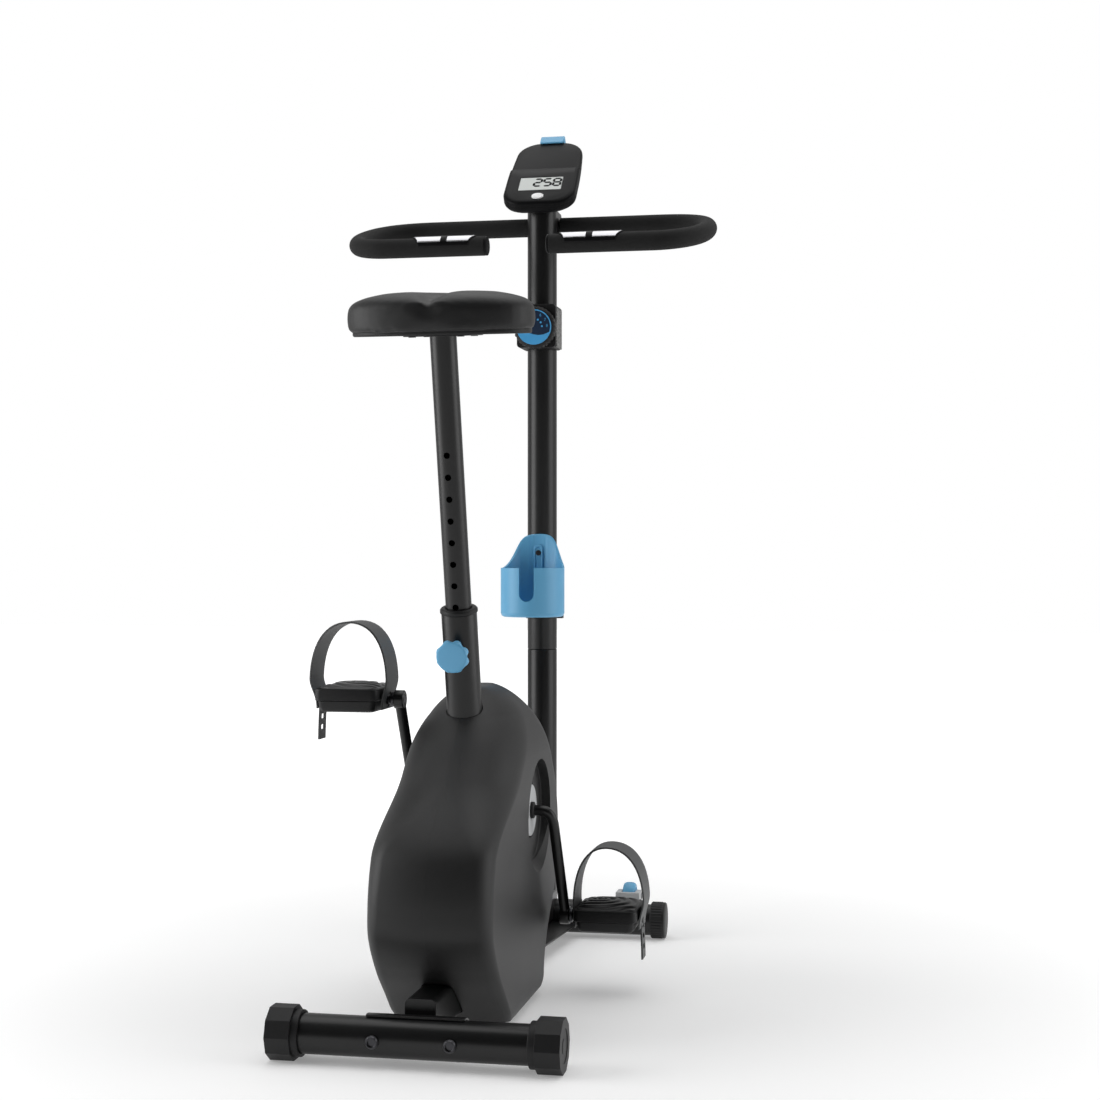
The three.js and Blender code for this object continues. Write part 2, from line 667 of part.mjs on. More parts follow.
// half width of the saddle at a share t of its length, from the rear
function saddleHalfWidth(t) {
  const { widestAt, halfWidth, noseHalfWidth } = saddle;
  if (t < widestAt) {
    const toRear = 1 - t / widestAt;
    return halfWidth * Math.sqrt(1 - 0.93 * toRear ** 2.6);
  }
  const toNose = (t - widestAt) / (1 - widestAt);
  const taper = 0.5 + 0.5 * Math.cos(Math.PI * Math.min(1, toNose * 1.12));
  const tip = Math.max(0, (toNose - 0.82) / 0.18);
  return (noseHalfWidth + (halfWidth - noseHalfWidth) * taper) * Math.sqrt(1 - 0.92 * tip * tip);
}

// one ring across the saddle: flat below, crowned above, with a shallow groove along the rear middle
function saddleRing(t) {
  const half = saddleHalfWidth(t);
  const y = t * saddle.length;
  const across = 10;
  const endDrop = 1 - 0.35 * Math.abs(2 * t - 1) ** 8;
  const grooveDepth = 0.1 * Math.max(0, 1 - t * 1.3);
  const ring = [new THREE.Vector3(-half, y, 0)];
  for (let i = 0; i <= across; i += 1) {
    const u = -1 + 2 * i / across;
    const crown = Math.sqrt(1 - Math.abs(u) ** 4.5);
    const groove = grooveDepth * Math.exp(-((u / 0.14) ** 2));
    const share = 0.34 + (0.66 * crown - groove) * endDrop;
    ring.push(new THREE.Vector3(half * Math.sin(u * Math.PI / 2), y, saddle.height * share));
  }
  ring.push(new THREE.Vector3(half, y, 0));
  return ring;
}

function saddlePad() {
  const shares = [0, 0.02, 0.07, 0.16, 0.27, 0.4, 0.52, 0.64, 0.76, 0.87, 0.95, 0.985, 1];
  return tippedSaddle(lofted(shares.map(saddleRing)));
}

function saddleBase() {
  const steps = 12;
  const right = [];
  for (let i = 0; i <= steps; i += 1) {
    const y = saddle.baseInset + (i / steps) * (saddle.length - 2 * saddle.baseInset);
    right.push(new THREE.Vector2(saddleHalfWidth(i / steps) - saddle.baseInset, y));
  }
  const left = right.map((point) => new THREE.Vector2(-point.x, point.y)).reverse();
  return tippedSaddle(extruded(new THREE.Shape([...right, ...left]), saddleBaseBottom, saddleBaseTop));
}

const saddlePlateTop = saddleBaseBottom - gap;

// plate under the saddle with the socket that the seat post ends in
function saddleBracket() {
  const { plateWidth, plateLength, plateThickness, plateCorner, socketLength, socketWall } = saddle;
  const half = plateWidth / 2;
  const middle = seat.tubeY - seat.postTop * Math.sin(seatLean) - saddle.rearY;
  const outline = roundedRectangle(half, middle - plateLength / 2, middle + plateLength / 2, plateCorner);
  const plate = tippedSaddle(extruded(outline, saddlePlateTop - plateThickness, saddlePlateTop));
  const reach = 100;
  const above = tippedSaddle(block(
    [-half, -reach, saddlePlateTop],
    [half, middle + reach, saddlePlateTop + reach],
  ));
  const outer = seat.postRadius + gap + socketWall;
  const bottom = seat.postTop - socketLength;
  const toBike = (geometry) => geometry.rotateX(seatLean).translate(0, seat.tubeY, beamTop);
  const socket = toBike(rod(outer, bottom, seat.postTop + outer, 'z'));
  const bore = toBike(rod(seat.postRadius + gap, bottom - 1, seat.postTop + gap, 'z'));
  return cut(join(plate, cut(socket, above)), bore);
}
add('saddle_bracket', saddleBracket(), blackPaint);
add('saddle_base', saddleBase(), blackPlastic);
add('saddle_pad', saddlePad(), paddedCover);

// ---------------------------------------------------------------- crank shell and flywheel bracket
function crankShell() {
  const half = shell.length / 2;
  const strut = shell.strutWidth / 2;
  const { y, z } = crankAxis;
  const tube = placed(rod(shell.radius, -half, half, 'x'), 0, y, z);
  const foot = block([-strut, y - strut * 0.8, beamTop + gap], [strut, y + strut * 0.8, z]);
  const web = block([-strut * 0.8, y - 120, z - 20], [strut * 0.8, y, z + 20]);
  const seatTubeSpace = rod(seat.tubeRadius + gap, -60, 600, 'z').rotateX(seatLean)
    .translate(0, seat.tubeY, beamTop);
  const behindTube = block([-100, y - 200, 0], [100, seat.tubeY - (z - beamTop) * Math.tan(seatLean), 600]);
  const bore = placed(rod(shell.bore, -half - 1, half + 1, 'x', fineSides), 0, y, z);
  return cut(join(tube, foot, cut(web, behindTube)), seatTubeSpace, bore);
}
add('crank_shell', crankShell(), blackPaint);

const flywheelLeft = flywheel.x - flywheel.width / 2;
const sheaveRight = belt.x + belt.width / 2 + 1;
const bracketLeft = flywheelLeft - flywheel.plateGap;
const bracketRight = sheaveRight + flywheel.plateGap;

function flywheelBracket() {
  const { plate, arm, y, z } = flywheel;
  const bottom = beamTop + gap;
  const half = arm / 2;
  const [leftFace, rightFace] = [bracketLeft - plate, bracketRight + plate];
  const base = block([leftFace, y - half, bottom], [rightFace, y + half, bottom + plate]);
  const left = block([leftFace, y - half, bottom], [bracketLeft, y + half, z + half]);
  const right = block([bracketRight, y - half, bottom], [rightFace, y + half, z + half]);
  const hole = placed(rod(flywheel.axle + gap, leftFace - 1, rightFace + 1, 'x', 16), 0, y, z);
  return cut(join(base, left, right), hole);
}
add('flywheel_bracket', flywheelBracket(), blackPaint);

// ---------------------------------------------------------------- crank, pulleys, belt and flywheel
// this group sits on the crank's axis, with the right arm pointing down and forwards
const crankGroup = new THREE.Group();
crankGroup.position.set(0, crankAxis.y, crankAxis.z);
bike.add(crankGroup);
const crankLean = radians(crank.lean);
const crankReach = { y: crank.length * Math.sin(crankLean), z: -crank.length * Math.cos(crankLean) };

// one bent bar: left arm, axle and right arm, with a forged eye at each end and a cone on each bearing
function crankBar() {
  const { straight, armX, eyeX, length, eyeRadius, eyeLength } = crank;
  const point = (x, drop) => new THREE.Vector3(x, 0, -drop);
  const elbow = [point(straight, 0), point(armX - 5, 0), point(armX - 1, 8), point(armX, 28)];
  const armEnd = point(eyeX, length - eyeRadius * 0.6);
  const turnedRound = (v) => v.clone().negate();
  const [bendStart, bendOut, bendIn, bendEnd] = elbow;
  const curves = [
    [line3(turnedRound(armEnd), turnedRound(bendEnd)), 1],
    [new THREE.CubicBezierCurve3(...elbow.map(turnedRound).reverse()), 4],
    [line3(turnedRound(bendStart), bendStart), 1],
    [new THREE.CubicBezierCurve3(bendStart, bendOut, bendIn, bendEnd), 4],
    [line3(bendEnd, armEnd), 1],
  ];
  const pieces = [swept(curves, crank.bar, 10, new THREE.Vector3(0, 1, 0))];
  const holes = [];
  for (const [, side] of sides) {
    const eyeCentre = [side * eyeX, 0, -side * length];
    pieces.push(rod(eyeRadius, -eyeLength / 2, eyeLength / 2, 'x').translate(...eyeCentre));
    holes.push(rod(pedal.axleRadius + gap, -eyeLength, eyeLength, 'x', 16).translate(...eyeCentre));
    const coneMiddle = side * (shell.length - shell.coneLength) / 2;
    const cone = rod(shell.cone, -shell.coneLength / 2, shell.coneLength / 2, 'x');
    pieces.push(cone.translate(coneMiddle, 0, 0));
  }
  return cut(join(...pieces), ...holes).rotateX(crankLean);
}
add('crank', crankBar(), blackPaint, crankGroup);

function drivePulley() {
  const from = belt.x - belt.width / 2;
  const to = belt.x + belt.width / 2;
  const rim = pipe(belt.pulleyRadius, belt.pulleyRadius - 8, from, to, 'x', fineSides);
  const web = pipe(belt.pulleyRadius - 4, belt.pulleyHub - 2, belt.x - 2, belt.x + 2, 'x', fineSides);
  const hub = pipe(belt.pulleyHub, crank.bar + gap, shell.length / 2 + gap, to, 'x', 12);
  const windows = [];
  for (let i = 0; i < 5; i += 1) {
    const window = rod(14, from - 1, to + 1, 'x', 10).translate(0, belt.pulleyRadius * 0.56, 0);
    windows.push(window.rotateX(i * 2 * Math.PI / 5));
  }
  return cut(join(rim, web, hub), ...windows);
}
add('drive_pulley', drivePulley(), blackPlastic, crankGroup);

function crankDisc(side) {
  const { radius, thickness, face } = disc;
  const bore = crank.bar + gap;
  const body = turned([
    [bore, face - thickness], [radius, face - thickness], [radius, face - 1.2], [radius - 1.2, face],
    [bore, face], [bore, face - thickness],
  ], 'x', fineSides);
  return onSide(body, side);
}
for (const [name, side] of sides) add(`crank_disc_${name}`, crankDisc(side), paleGreyPlastic, crankGroup);

function driveBelt() {
  const big = { y: crankAxis.y, z: crankAxis.z, r: belt.pulleyRadius };
  const small = { y: flywheel.y, z: flywheel.z, r: flywheel.sheave };
  const [dy, dz] = [big.y - small.y, big.z - small.z];
  const along = Math.atan2(dz, dy);
  const spread = Math.acos((big.r - small.r) / Math.hypot(dy, dz));
  const loop = (shape, grow) => {
    shape.absarc(big.y, big.z, big.r + grow, along - Math.PI + spread, along + Math.PI - spread);
    shape.absarc(small.y, small.z, small.r + grow, along + Math.PI - spread, along + Math.PI + spread);
    shape.closePath();
    return shape;
  };
  const outline = loop(new THREE.Shape(), gap + belt.thickness);
  outline.holes.push(loop(new THREE.Path(), gap));
  return extrudedAcross(outline, belt.x - belt.width / 2 + 1, belt.x + belt.width / 2 - 1, 14);
}
add('drive_belt', driveBelt(), rubber);

const flywheelGroup = new THREE.Group();
flywheelGroup.position.set(0, flywheel.y, flywheel.z);
bike.add(flywheelGroup);

function flywheelDisc() {
  const { radius, width, rimWidth, web, hub, sheave, bore } = flywheel;
  const left = flywheelLeft;
  const right = left + width;
  const rim = radius - rimWidth;
  const webLeft = left + (width - web) / 2;
  const sheaveLeft = belt.x - belt.width / 2 - 1;
  return turned([
    [bore, left], [hub, left], [hub, webLeft], [rim, webLeft], [rim, left], [radius, left],
    [radius, right], [rim, right], [rim, webLeft + web], [hub, webLeft + web], [hub, sheaveLeft],
    [sheave, sheaveLeft], [sheave, sheaveRight], [bore, sheaveRight], [bore, left],
  ], 'x', fineSides);
}
add('flywheel', flywheelDisc(), castIron, flywheelGroup);

function flywheelAxle() {
  const left = bracketLeft - flywheel.plate - gap;
  const right = bracketRight + flywheel.plate + gap;
  return turned([
    [0, left - 5], [flywheel.axle + 4, left - 5], [flywheel.axle + 4, left], [flywheel.axle, left],
    [flywheel.axle, right], [flywheel.axle + 4, right], [flywheel.axle + 4, right + 5], [0, right + 5],
  ], 'x', 16);
}
add('flywheel_axle', flywheelAxle(), steel, flywheelGroup);

// curved shoe with the magnets, hung beside the seat tube over the flywheel's rim
function magnetArm() {
  const inner = flywheel.radius + magnet.rimGap;
  const outer = inner + magnet.thickness;
  const [start, end] = [radians(magnet.startDeg), radians(magnet.endDeg)];
  const arc = new THREE.Shape();
  arc.absarc(0, 0, outer, start, end, false);
  arc.absarc(0, 0, inner, end, start, true);
  arc.closePath();
  const left = flywheel.x - magnet.width / 2;
  const right = flywheel.x + magnet.width / 2;
  const shoe = extrudedAcross(arc, left, right, 8);
  const atPivot = (geometry) => geometry.translate(0, magnetPivot.y, magnetPivot.z);
  const eye = atPivot(rod(magnet.pivot + 4, left, right, 'x', 16));
  const hole = atPivot(rod(magnet.bore, left - 1, right + 1, 'x', 12));
  return cut(join(shoe, eye), hole);
}
add('magnet_arm', magnetArm(), steel, flywheelGroup);

// ---------------------------------------------------------------- pedals
function pedalBody(side) {
  const outline = roundedRectangle(pedal.halfLength, -pedal.down, pedal.up, pedal.corner);
  const body = extrudedAcross(outline, -pedal.halfWidth, pedal.halfWidth, 2);
  const bore = rod(pedal.bore, -pedal.halfWidth - 1, -pedal.halfWidth + pedal.boreDepth, 'x', 16);
  return onSide(cut(body, bore), side);
}

// fixed in the crank's eye; the pedal turns on it
function pedalAxle(side) {
  const { axleRadius, flange, flangeLength } = pedal;
  const eyeInner = crank.eyeX - crank.eyeLength / 2 - pedal.x;
  const eyeOuter = eyeInner + crank.eyeLength + gap;
  const end = -pedal.halfWidth + pedal.boreDepth - 2;
  const shaft = turned([
    [0, eyeInner], [axleRadius, eyeInner], [axleRadius, eyeOuter], [flange, eyeOuter],
    [flange, eyeOuter + flangeLength], [axleRadius, eyeOuter + flangeLength], [axleRadius, end], [0, end],
  ], 'x', 16);
  return onSide(shaft, side);
}

// half of a strap's edge line, from the pedal's side up to the middle of the arch
function strapHalf(bulge, top, foot, low) {
  const at = (x, z) => new THREE.Vector2(x, z);
  const rise = new THREE.CubicBezierCurve(at(foot, low), at(foot, strap.bulgeAt * 0.3),
    at(bulge, strap.bulgeAt * 0.6), at(bulge, strap.bulgeAt));
  const crown = new THREE.CubicBezierCurve(at(bulge, strap.bulgeAt), at(bulge, top - 18),
    at(bulge * 0.6, top), at(0, top));
  return [...rise.getPoints(4), ...crown.getPoints(6).slice(1)];
}

// one edge line of the arch, from the pedal's outer side over the foot to its inner side
function strapLine(arch, grow) {
  const foot = pedal.halfWidth + gap + grow;
  const top = arch.top + grow;
  const outer = strapHalf(arch.outer + grow, top, foot, -strap.outerFoot);
  const inner = strapHalf(arch.inner + grow, top, foot, -strap.innerFoot).slice(0, -1);
  return [...outer, ...inner.map((p) => new THREE.Vector2(-p.x, p.y)).reverse()];
}

function pedalStrap(name, side) {
  const arch = strapArch[name];
  const outline = new THREE.Shape([...strapLine(arch, strap.thickness), ...strapLine(arch, 0).reverse()]);
  const band = extrudedAlong(outline, -strap.width / 2, strap.width / 2);
  const foot = pedal.halfWidth + gap;
  const tailEnd = -strap.tailDrop;
  const tail = block([foot, -strap.tailWidth / 2, tailEnd], [foot + strap.thickness, strap.tailWidth / 2, 0]);
  const axleGap = rod(pedal.flange + 1, -arch.inner - strap.thickness - 1, -foot + 1, 'x', 12);
  const holes = [];
  for (let i = 0; i < 2; i += 1) {
    const low = tailEnd + 8 + i * strap.holePitch;
    const halfWidth = strap.holeWidth / 2;
    const outside = foot + strap.thickness + 1;
    holes.push(block([foot - 1, -halfWidth, low], [outside, halfWidth, low + strap.holeHeight]));
  }
  return onSide(cut(join(band, tail), axleGap, ...holes), side);
}

for (const [name, side] of sides) {
  const pedalGroup = new THREE.Group();
  pedalGroup.position.set(side * pedal.x, side * crankReach.y, side * crankReach.z);
  crankGroup.add(pedalGroup);
  add(`pedal_${name}`, pedalBody(side), blackPlastic, pedalGroup);
  add(`pedal_axle_${name}`, pedalAxle(side), chrome, pedalGroup);
  add(`pedal_strap_${name}`, pedalStrap(name, side), rubber, pedalGroup);
}

// ---------------------------------------------------------------- casing
// points across the flat of the rear between its two corners
function rearPoints(reach, y, z) {
  const shares = [-0.6, -0.2, 0.2, 0.6];
  return shares.map((share) => new THREE.Vector3(share * reach, y, z));
}

// rounded outline across the casing at one height, shrunk by an inset; its rear is crowned low down
function casingRing(z, inset) {
  const rear = profileValue(casingRear, z) + inset;
  const front = profileValue(casingFront, z) - inset;
  const depth = front - rear;
  const rise = Math.max(0, (z - casing.archZ) / casing.archReach);
  const tuck = Math.max(0, 1 - (z - casing.bottom) / casing.tuckHeight);
  const half = casing.halfWidth * Math.sqrt(1 - rise * rise) - casing.tuck * tuck * tuck - inset;
  const corner = casingCorner;
  const climb = Math.min(1, (z - casing.bottom) / (corner.rollZ - casing.bottom));
  const roll = THREE.MathUtils.smoothstep(z, corner.rollZ, corner.rollZ + corner.rollHeight);
  const low = corner.rearLow + corner.rearGrowth * climb;
  const rearAcross = Math.min(half * 0.98, THREE.MathUtils.lerp(low, half * 0.98, roll));
  const rearAlong = THREE.MathUtils.lerp(low, Math.min(corner.rollDepth, depth / 2), roll);
  const widen = THREE.MathUtils.smoothstep(z, corner.frontZ, corner.frontZ + corner.frontHeight);
  const frontRadius = Math.min(half * 0.98, depth * 0.48, corner.front + corner.frontGrowth * widen);
  const corners = [
    [half - frontRadius, front - frontRadius, frontRadius, frontRadius],
    [-half + frontRadius, front - frontRadius, frontRadius, frontRadius],
    [-half + rearAcross, rear + rearAlong, rearAcross, rearAlong],
    [half - rearAcross, rear + rearAlong, rearAcross, rearAlong],
  ];
  const ring = [];
  const steps = 5;
  corners.forEach(([x, y, across, along], index) => {
    for (let i = 0; i <= steps; i += 1) {
      const angle = (index + i / steps) * Math.PI / 2;
      ring.push(new THREE.Vector3(x + across * Math.cos(angle), y + along * Math.sin(angle), z));
    }
    if (index === 2) ring.push(...rearPoints(half - rearAcross, rear, z));
  });
  const crown = casing.crown * (1 - roll) * Math.min(1, (z - casing.bottom) / casing.crownHeight);
  for (const point of ring) {
    if (point.y < rear + rearAlong) point.y -= crown * (1 - (point.x / half) ** 2);
  }
  return ring;
}

function casingForm(inset) {
  const [low, high] = [casing.bottom + inset, casing.top - inset];
  const shares = [0, 0.04, 0.12, 0.25, 0.38, 0.5, 0.57, 0.64, 0.72, 0.8, 0.87, 0.93, 0.97, 0.99, 1];
  return lofted(shares.map((t) => casingRing(low + t * (high - low), inset)));
}

// round recess about the crank with a bevel under it, drawn on the right side
function dish(grow) {
  const floor = casing.dishFloor - grow;
  const rim = casing.halfWidth + 6;
  const radius = casing.dishRadius + grow;
  const recess = (floorRadius, rimRadius) => turned([
    [0, floor], [floorRadius, floor], [rimRadius, rim], [0, rim],
  ], 'x', fineSides);
  const round = recess(radius - casing.dishDraft, radius);
  const wide = recess(radius - 4, radius + casing.bevel);
  const below = block([0, -radius * 1.2, -radius * 1.6], [rim + 1, radius * 0.3, -radius * 0.3]);
  return placed(join(round, common(wide, below)), 0, crankAxis.y, crankAxis.z);
}

function casingShell(side) {
  const reach = casing.halfWidth + 10;
  const outer = cut(casingForm(0), dish(0));
  const inner = cut(casingForm(casing.wall), dish(casing.wall));
  const hub = placed(rod(casing.hubHole, 0, reach, 'x', fineSides), 0, crankAxis.y, crankAxis.z);
  const seatHole = rod(seat.tubeRadius + 1, 0, 600, 'z').rotateX(seatLean).translate(0, seat.tubeY, beamTop);
  const beamHalf = beam.width / 2 + 1;
  const beamHole = block([-beamHalf, 0, beam.floorGap - 1], [beamHalf, frontFoot.y, beamTop + 1]);
  const otherHalf = block([-reach, 0, 0], [casing.seam / 2, frontFoot.y, casing.top + 1]);
  return onSide(cut(outer, inner, hub, seatHole, beamHole, otherHalf), side);
}
for (const [name, side] of sides) add(`casing_${name}`, casingShell(side), charcoalPlastic);

// ---------------------------------------------------------------- handlebar
// this group lies in the plane of the bar: its own Y runs forwards and up
const barGroup = new THREE.Group();
barGroup.position.set(0, bar.nearY, bar.nearZ);
barGroup.rotation.x = Math.atan2(bar.farZ - bar.nearZ, bar.farY - bar.nearY);
bike.add(barGroup);
const barDepth = Math.hypot(bar.farY - bar.nearY, bar.farZ - bar.nearZ);

// centre line of the right half, from its open end round to the far side
function barCurves(startX, endX) {
  const [nearEnd, farEnd, wide, far] = [210, 190, bar.halfWidth, barDepth];
  const at = (x, y) => new THREE.Vector3(x, y, 0);
  const widest = at(wide, 120);
  return [
    [line3(at(startX, 0), at(nearEnd, 0)), 1],
    [new THREE.CubicBezierCurve3(at(nearEnd, 0), at(238, 0), at(wide, 30), widest), 5],
    [new THREE.CubicBezierCurve3(widest, at(wide, 176), at(266, far), at(farEnd, far)), 5],
    [line3(at(farEnd, far), at(endX, far)), 1],
  ];
}

function barSweep(startX, endX, radius) {
  return swept(barCurves(startX, endX), radius, 10, new THREE.Vector3(0, 0, 1));
}

function handlebarTube() {
  const half = barSweep(bar.start, -1, bar.tube);
  return join(half, half.clone().scale(-1, 1, 1));
}
add('handlebar_tube', handlebarTube(), blackPaint, barGroup);

// part of a ring over the top of the grip, from one radius to another, as long as a sensor
function sensorRing(inner, outer, clearance) {
  const half = sensor.length / 2 + clearance;
  const [from, to] = [sensor.centreX - half, sensor.centreX + half];
  const ring = pipe(outer, inner, from, to, 'x', fineSides);
  const upper = block([from - 1, -outer, bar.foam * sensor.edge - clearance], [to + 1, outer, outer + 1]);
  return common(ring, upper);
}

// the foam carries the sensor in a shallow seat
function foamGrip(side) {
  const outer = barSweep(bar.start + gap, bar.foamEndX, bar.foam);
  const inner = barSweep(bar.start - 4, bar.foamEndX - 4, bar.tube + gap);
  const seatFloor = bar.foam - sensor.seatDepth - gap;
  return onSide(cut(outer, inner, sensorRing(seatFloor, bar.foam + 1, gap)), side);
}

function sensorPlate(side) {
  const inner = bar.foam - sensor.seatDepth;
  return onSide(sensorRing(inner, inner + sensor.thickness, 0), side);
}

function gripPlug(side) {
  const plugEnd = bar.start - bar.plugLength;
  const rim = turned([
    [0, plugEnd], [bar.foam - 2, plugEnd], [bar.foam, plugEnd + 2], [bar.foam, bar.start - gap],
    [0, bar.start - gap],
  ], 'x', 16);
  return onSide(rim, side);
}

for (const [name, side] of sides) {
  add(`foam_grip_${name}`, foamGrip(side), foamRubber, barGroup);
  add(`pulse_plate_${name}`, sensorPlate(side), chrome, barGroup);
  add(`grip_plug_${name}`, gripPlug(side), blackPlastic, barGroup);
}

// split block in front of the post that holds the middle of the bar
function handlebarClamp() {
  const half = clamp.width / 2;
  const depth = bar.farY + clamp.reach - post.y;
  const outline = roundedRectangle(depth / 2, -clamp.height / 2, clamp.height / 2, 8);
  const shape = placed(extrudedAcross(outline, -half, half), 0, post.y + depth / 2, bar.farZ);
  const postSpace = placed(rod(post.radius + gap, bar.farZ - 60, bar.farZ + 60, 'z'), 0, post.y, 0);
  const barSpace = placed(rod(bar.tube + 2 * gap, -half - 1, half + 1, 'x'), 0, bar.farY, bar.farZ);
  const behindPost = block([-half - 1, post.y - 100, bar.farZ - 60], [half + 1, post.y + 6, bar.farZ + 60]);
  return cut(shape, postSpace, barSpace, behindPost);
}
add('handlebar_clamp', handlebarClamp(), blackPaint);

// ---------------------------------------------------------------- console
// this group lies in the console's face: its own Y runs up the face and its Z towards the rider
const consoleGroup = new THREE.Group();
consoleGroup.position.set(0, consoleUnit.y, consoleUnit.z);
consoleGroup.rotation.x = consoleTilt;
bike.add(consoleGroup);
const consoleFace = consoleUnit.thickness / 2;
const raisedFace = consoleFace + consoleUnit.raise;
const consoleEnd = consoleUnit.length / 2;

function consoleOutline() {
  const { halfWidth, topHalfWidth, cornerRadius } = consoleUnit;
  const shape = new THREE.Shape();
  const topStart = consoleEnd - cornerRadius;
  shape.moveTo(-halfWidth + cornerRadius, -consoleEnd);
  shape.lineTo(halfWidth - cornerRadius, -consoleEnd);
  shape.quadraticCurveTo(halfWidth, -consoleEnd, halfWidth, -consoleEnd + cornerRadius);
  shape.lineTo(halfWidth - 1, 0);
  shape.quadraticCurveTo(halfWidth - 2, topStart, topHalfWidth, topStart + cornerRadius * 0.55);
  shape.quadraticCurveTo(topHalfWidth - 8, consoleEnd, topHalfWidth - cornerRadius, consoleEnd);
  shape.lineTo(-topHalfWidth + cornerRadius, consoleEnd);
  shape.quadraticCurveTo(-topHalfWidth + 8, consoleEnd, -topHalfWidth, topStart + cornerRadius * 0.55);
  shape.quadraticCurveTo(-halfWidth + 2, topStart, -halfWidth + 1, 0);
  shape.lineTo(-halfWidth, -consoleEnd + cornerRadius);
  shape.quadraticCurveTo(-halfWidth, -consoleEnd, -halfWidth + cornerRadius, -consoleEnd);
  return shape;
}

function ovalShape(halfWidth, halfHeight) {
  const shape = new THREE.Shape();
  shape.absellipse(0, 0, halfWidth, halfHeight, 0, Math.PI * 2);
  return shape;
}

const tabEnd = consoleEnd + tab.proud;
const tabMiddle = -2;
function consoleBody() {
  const { bevel, thickness, raise, raiseWidth, raiseLength } = consoleUnit;
  const rounded = (depth, size) => ({
    depth: depth - 2 * size, bevelThickness: size, bevelSize: size, bevelOffset: -size, bevelSegments: 1,
    curveSegments: 3,
  });
  const flat = new THREE.ExtrudeGeometry(consoleOutline(), rounded(thickness, bevel));
  flat.translate(0, 0, -consoleFace + bevel);
  const raisedOutline = roundedRectangle(raiseWidth / 2, -consoleEnd + 2, -consoleEnd + raiseLength, 18);
  const raised = new THREE.ExtrudeGeometry(raisedOutline, rounded(raise + consoleFace, 3));
  raised.translate(0, 0, 3);
  const glassSeat = block(
    [-screen.width / 2 - gap, screen.centre - screen.height / 2 - gap, raisedFace - screen.thickness - gap],
    [screen.width / 2 + gap, screen.centre + screen.height / 2 + gap, raisedFace + 5],
  );
  const buttonSeat = extruded(ovalShape(button.halfWidth + gap, button.halfHeight + gap),
    raisedFace + button.proud - button.height - button.travel - gap, raisedFace + 5, 12);
  buttonSeat.translate(0, button.centre, 0);
  const slot = block(
    [-tab.width / 2 - tab.slotGap, tabEnd - tab.length - gap, tabMiddle - tab.thickness / 2 - tab.slotGap],
    [tab.width / 2 + tab.slotGap, consoleEnd + 10, tabMiddle + tab.thickness / 2 + tab.slotGap],
  );
  return cut(join(flat, raised), glassSeat, buttonSeat, slot);
}
add('console_body', consoleBody(), blackPlastic, consoleGroup);

function consoleScreen() {
  const [halfWidth, halfHeight] = [screen.width / 2, screen.height / 2];
  return block([-halfWidth, screen.centre - halfHeight, raisedFace - screen.thickness],
    [halfWidth, screen.centre + halfHeight, raisedFace]);
}
add('console_screen', consoleScreen(), screenGlass, consoleGroup);

function consoleButton() {
  const top = raisedFace + button.proud;
  const geometry = extruded(ovalShape(button.halfWidth, button.halfHeight), top - button.height, top, 12);
  return geometry.translate(0, button.centre, 0);
}
add('console_button', consoleButton(), whitePlastic, consoleGroup);

// sprung clip that draws up out of the console's top edge to hold a telephone against its face
function consoleTab() {
  const top = tabEnd;
  const half = tab.width / 2;
  const shape = new THREE.Shape();
  shape.moveTo(-half, top - tab.length);
  shape.lineTo(half, top - tab.length);
  shape.lineTo(half, top - 5);
  shape.quadraticCurveTo(half, top, half - 5, top);
  shape.lineTo(-half + 5, top);
  shape.quadraticCurveTo(-half, top, -half, top - 5);
  const plate = extruded(shape, tabMiddle - tab.thickness / 2, tabMiddle + tab.thickness / 2);
  const hookTop = consoleFace + gap + tab.hookThickness;
  const lip = block([-half, top - tab.lip, 0], [half, top, hookTop]);
  const hook = block([-half, consoleEnd - tab.hook, consoleFace + gap], [half, top, hookTop]);
  return join(plate, lip, hook);
}
add('console_tab', consoleTab(), bluePlastic, consoleGroup);

// ---------------------------------------------------------------- resistance dial
function dialBase() {
  const back = dial.faceY + dial.thickness + gap;
  const front = post.y + 4;
  const height = dial.baseTop - dial.baseBottom;
  const outline = roundedRectangle(dial.baseHalfWidth, dial.z - height / 2, dial.z + height / 2, 12);
  const body = extrudedAlong(outline, back, front, 4);
  const bore = placed(rod(post.radius + gap, dial.baseBottom - 20, dial.baseTop + 20, 'z'), 0, post.y, 0);
  const spindle = placed(rod(dial.spindle, back - 14, back + 4, 'y', 12), 0, 0, dial.z);
  return join(cut(body, bore), spindle);
}
add('dial_base', dialBase(), blackPlastic);

function tensionDial() {
  const { radius, crown, ribs, ribDepth, faceY, thickness } = dial;
  const ribbed = (i) => radius - (i % 2) * ribDepth;
  const rim = extrudedAlong(rimShape(ribs * 2, ribbed), faceY + crown - 1, faceY + thickness);
  const face = rod(radius - 5, faceY, faceY + crown, 'y', fineSides);
  const bore = rod(dial.bore, faceY + 5, faceY + thickness + 1, 'y', 12);
  return cut(join(rim, face), bore).translate(0, 0, dial.z);
}
add('tension_dial', tensionDial(), blackPlastic);

// ---------------------------------------------------------------- bottle holder
const bandOuter = post.radius + gap + bottle.bandWall;
const cupY = post.y - bandOuter - gap - bottle.radius;
const bottleBack = bottle.rim + bottle.backRise;

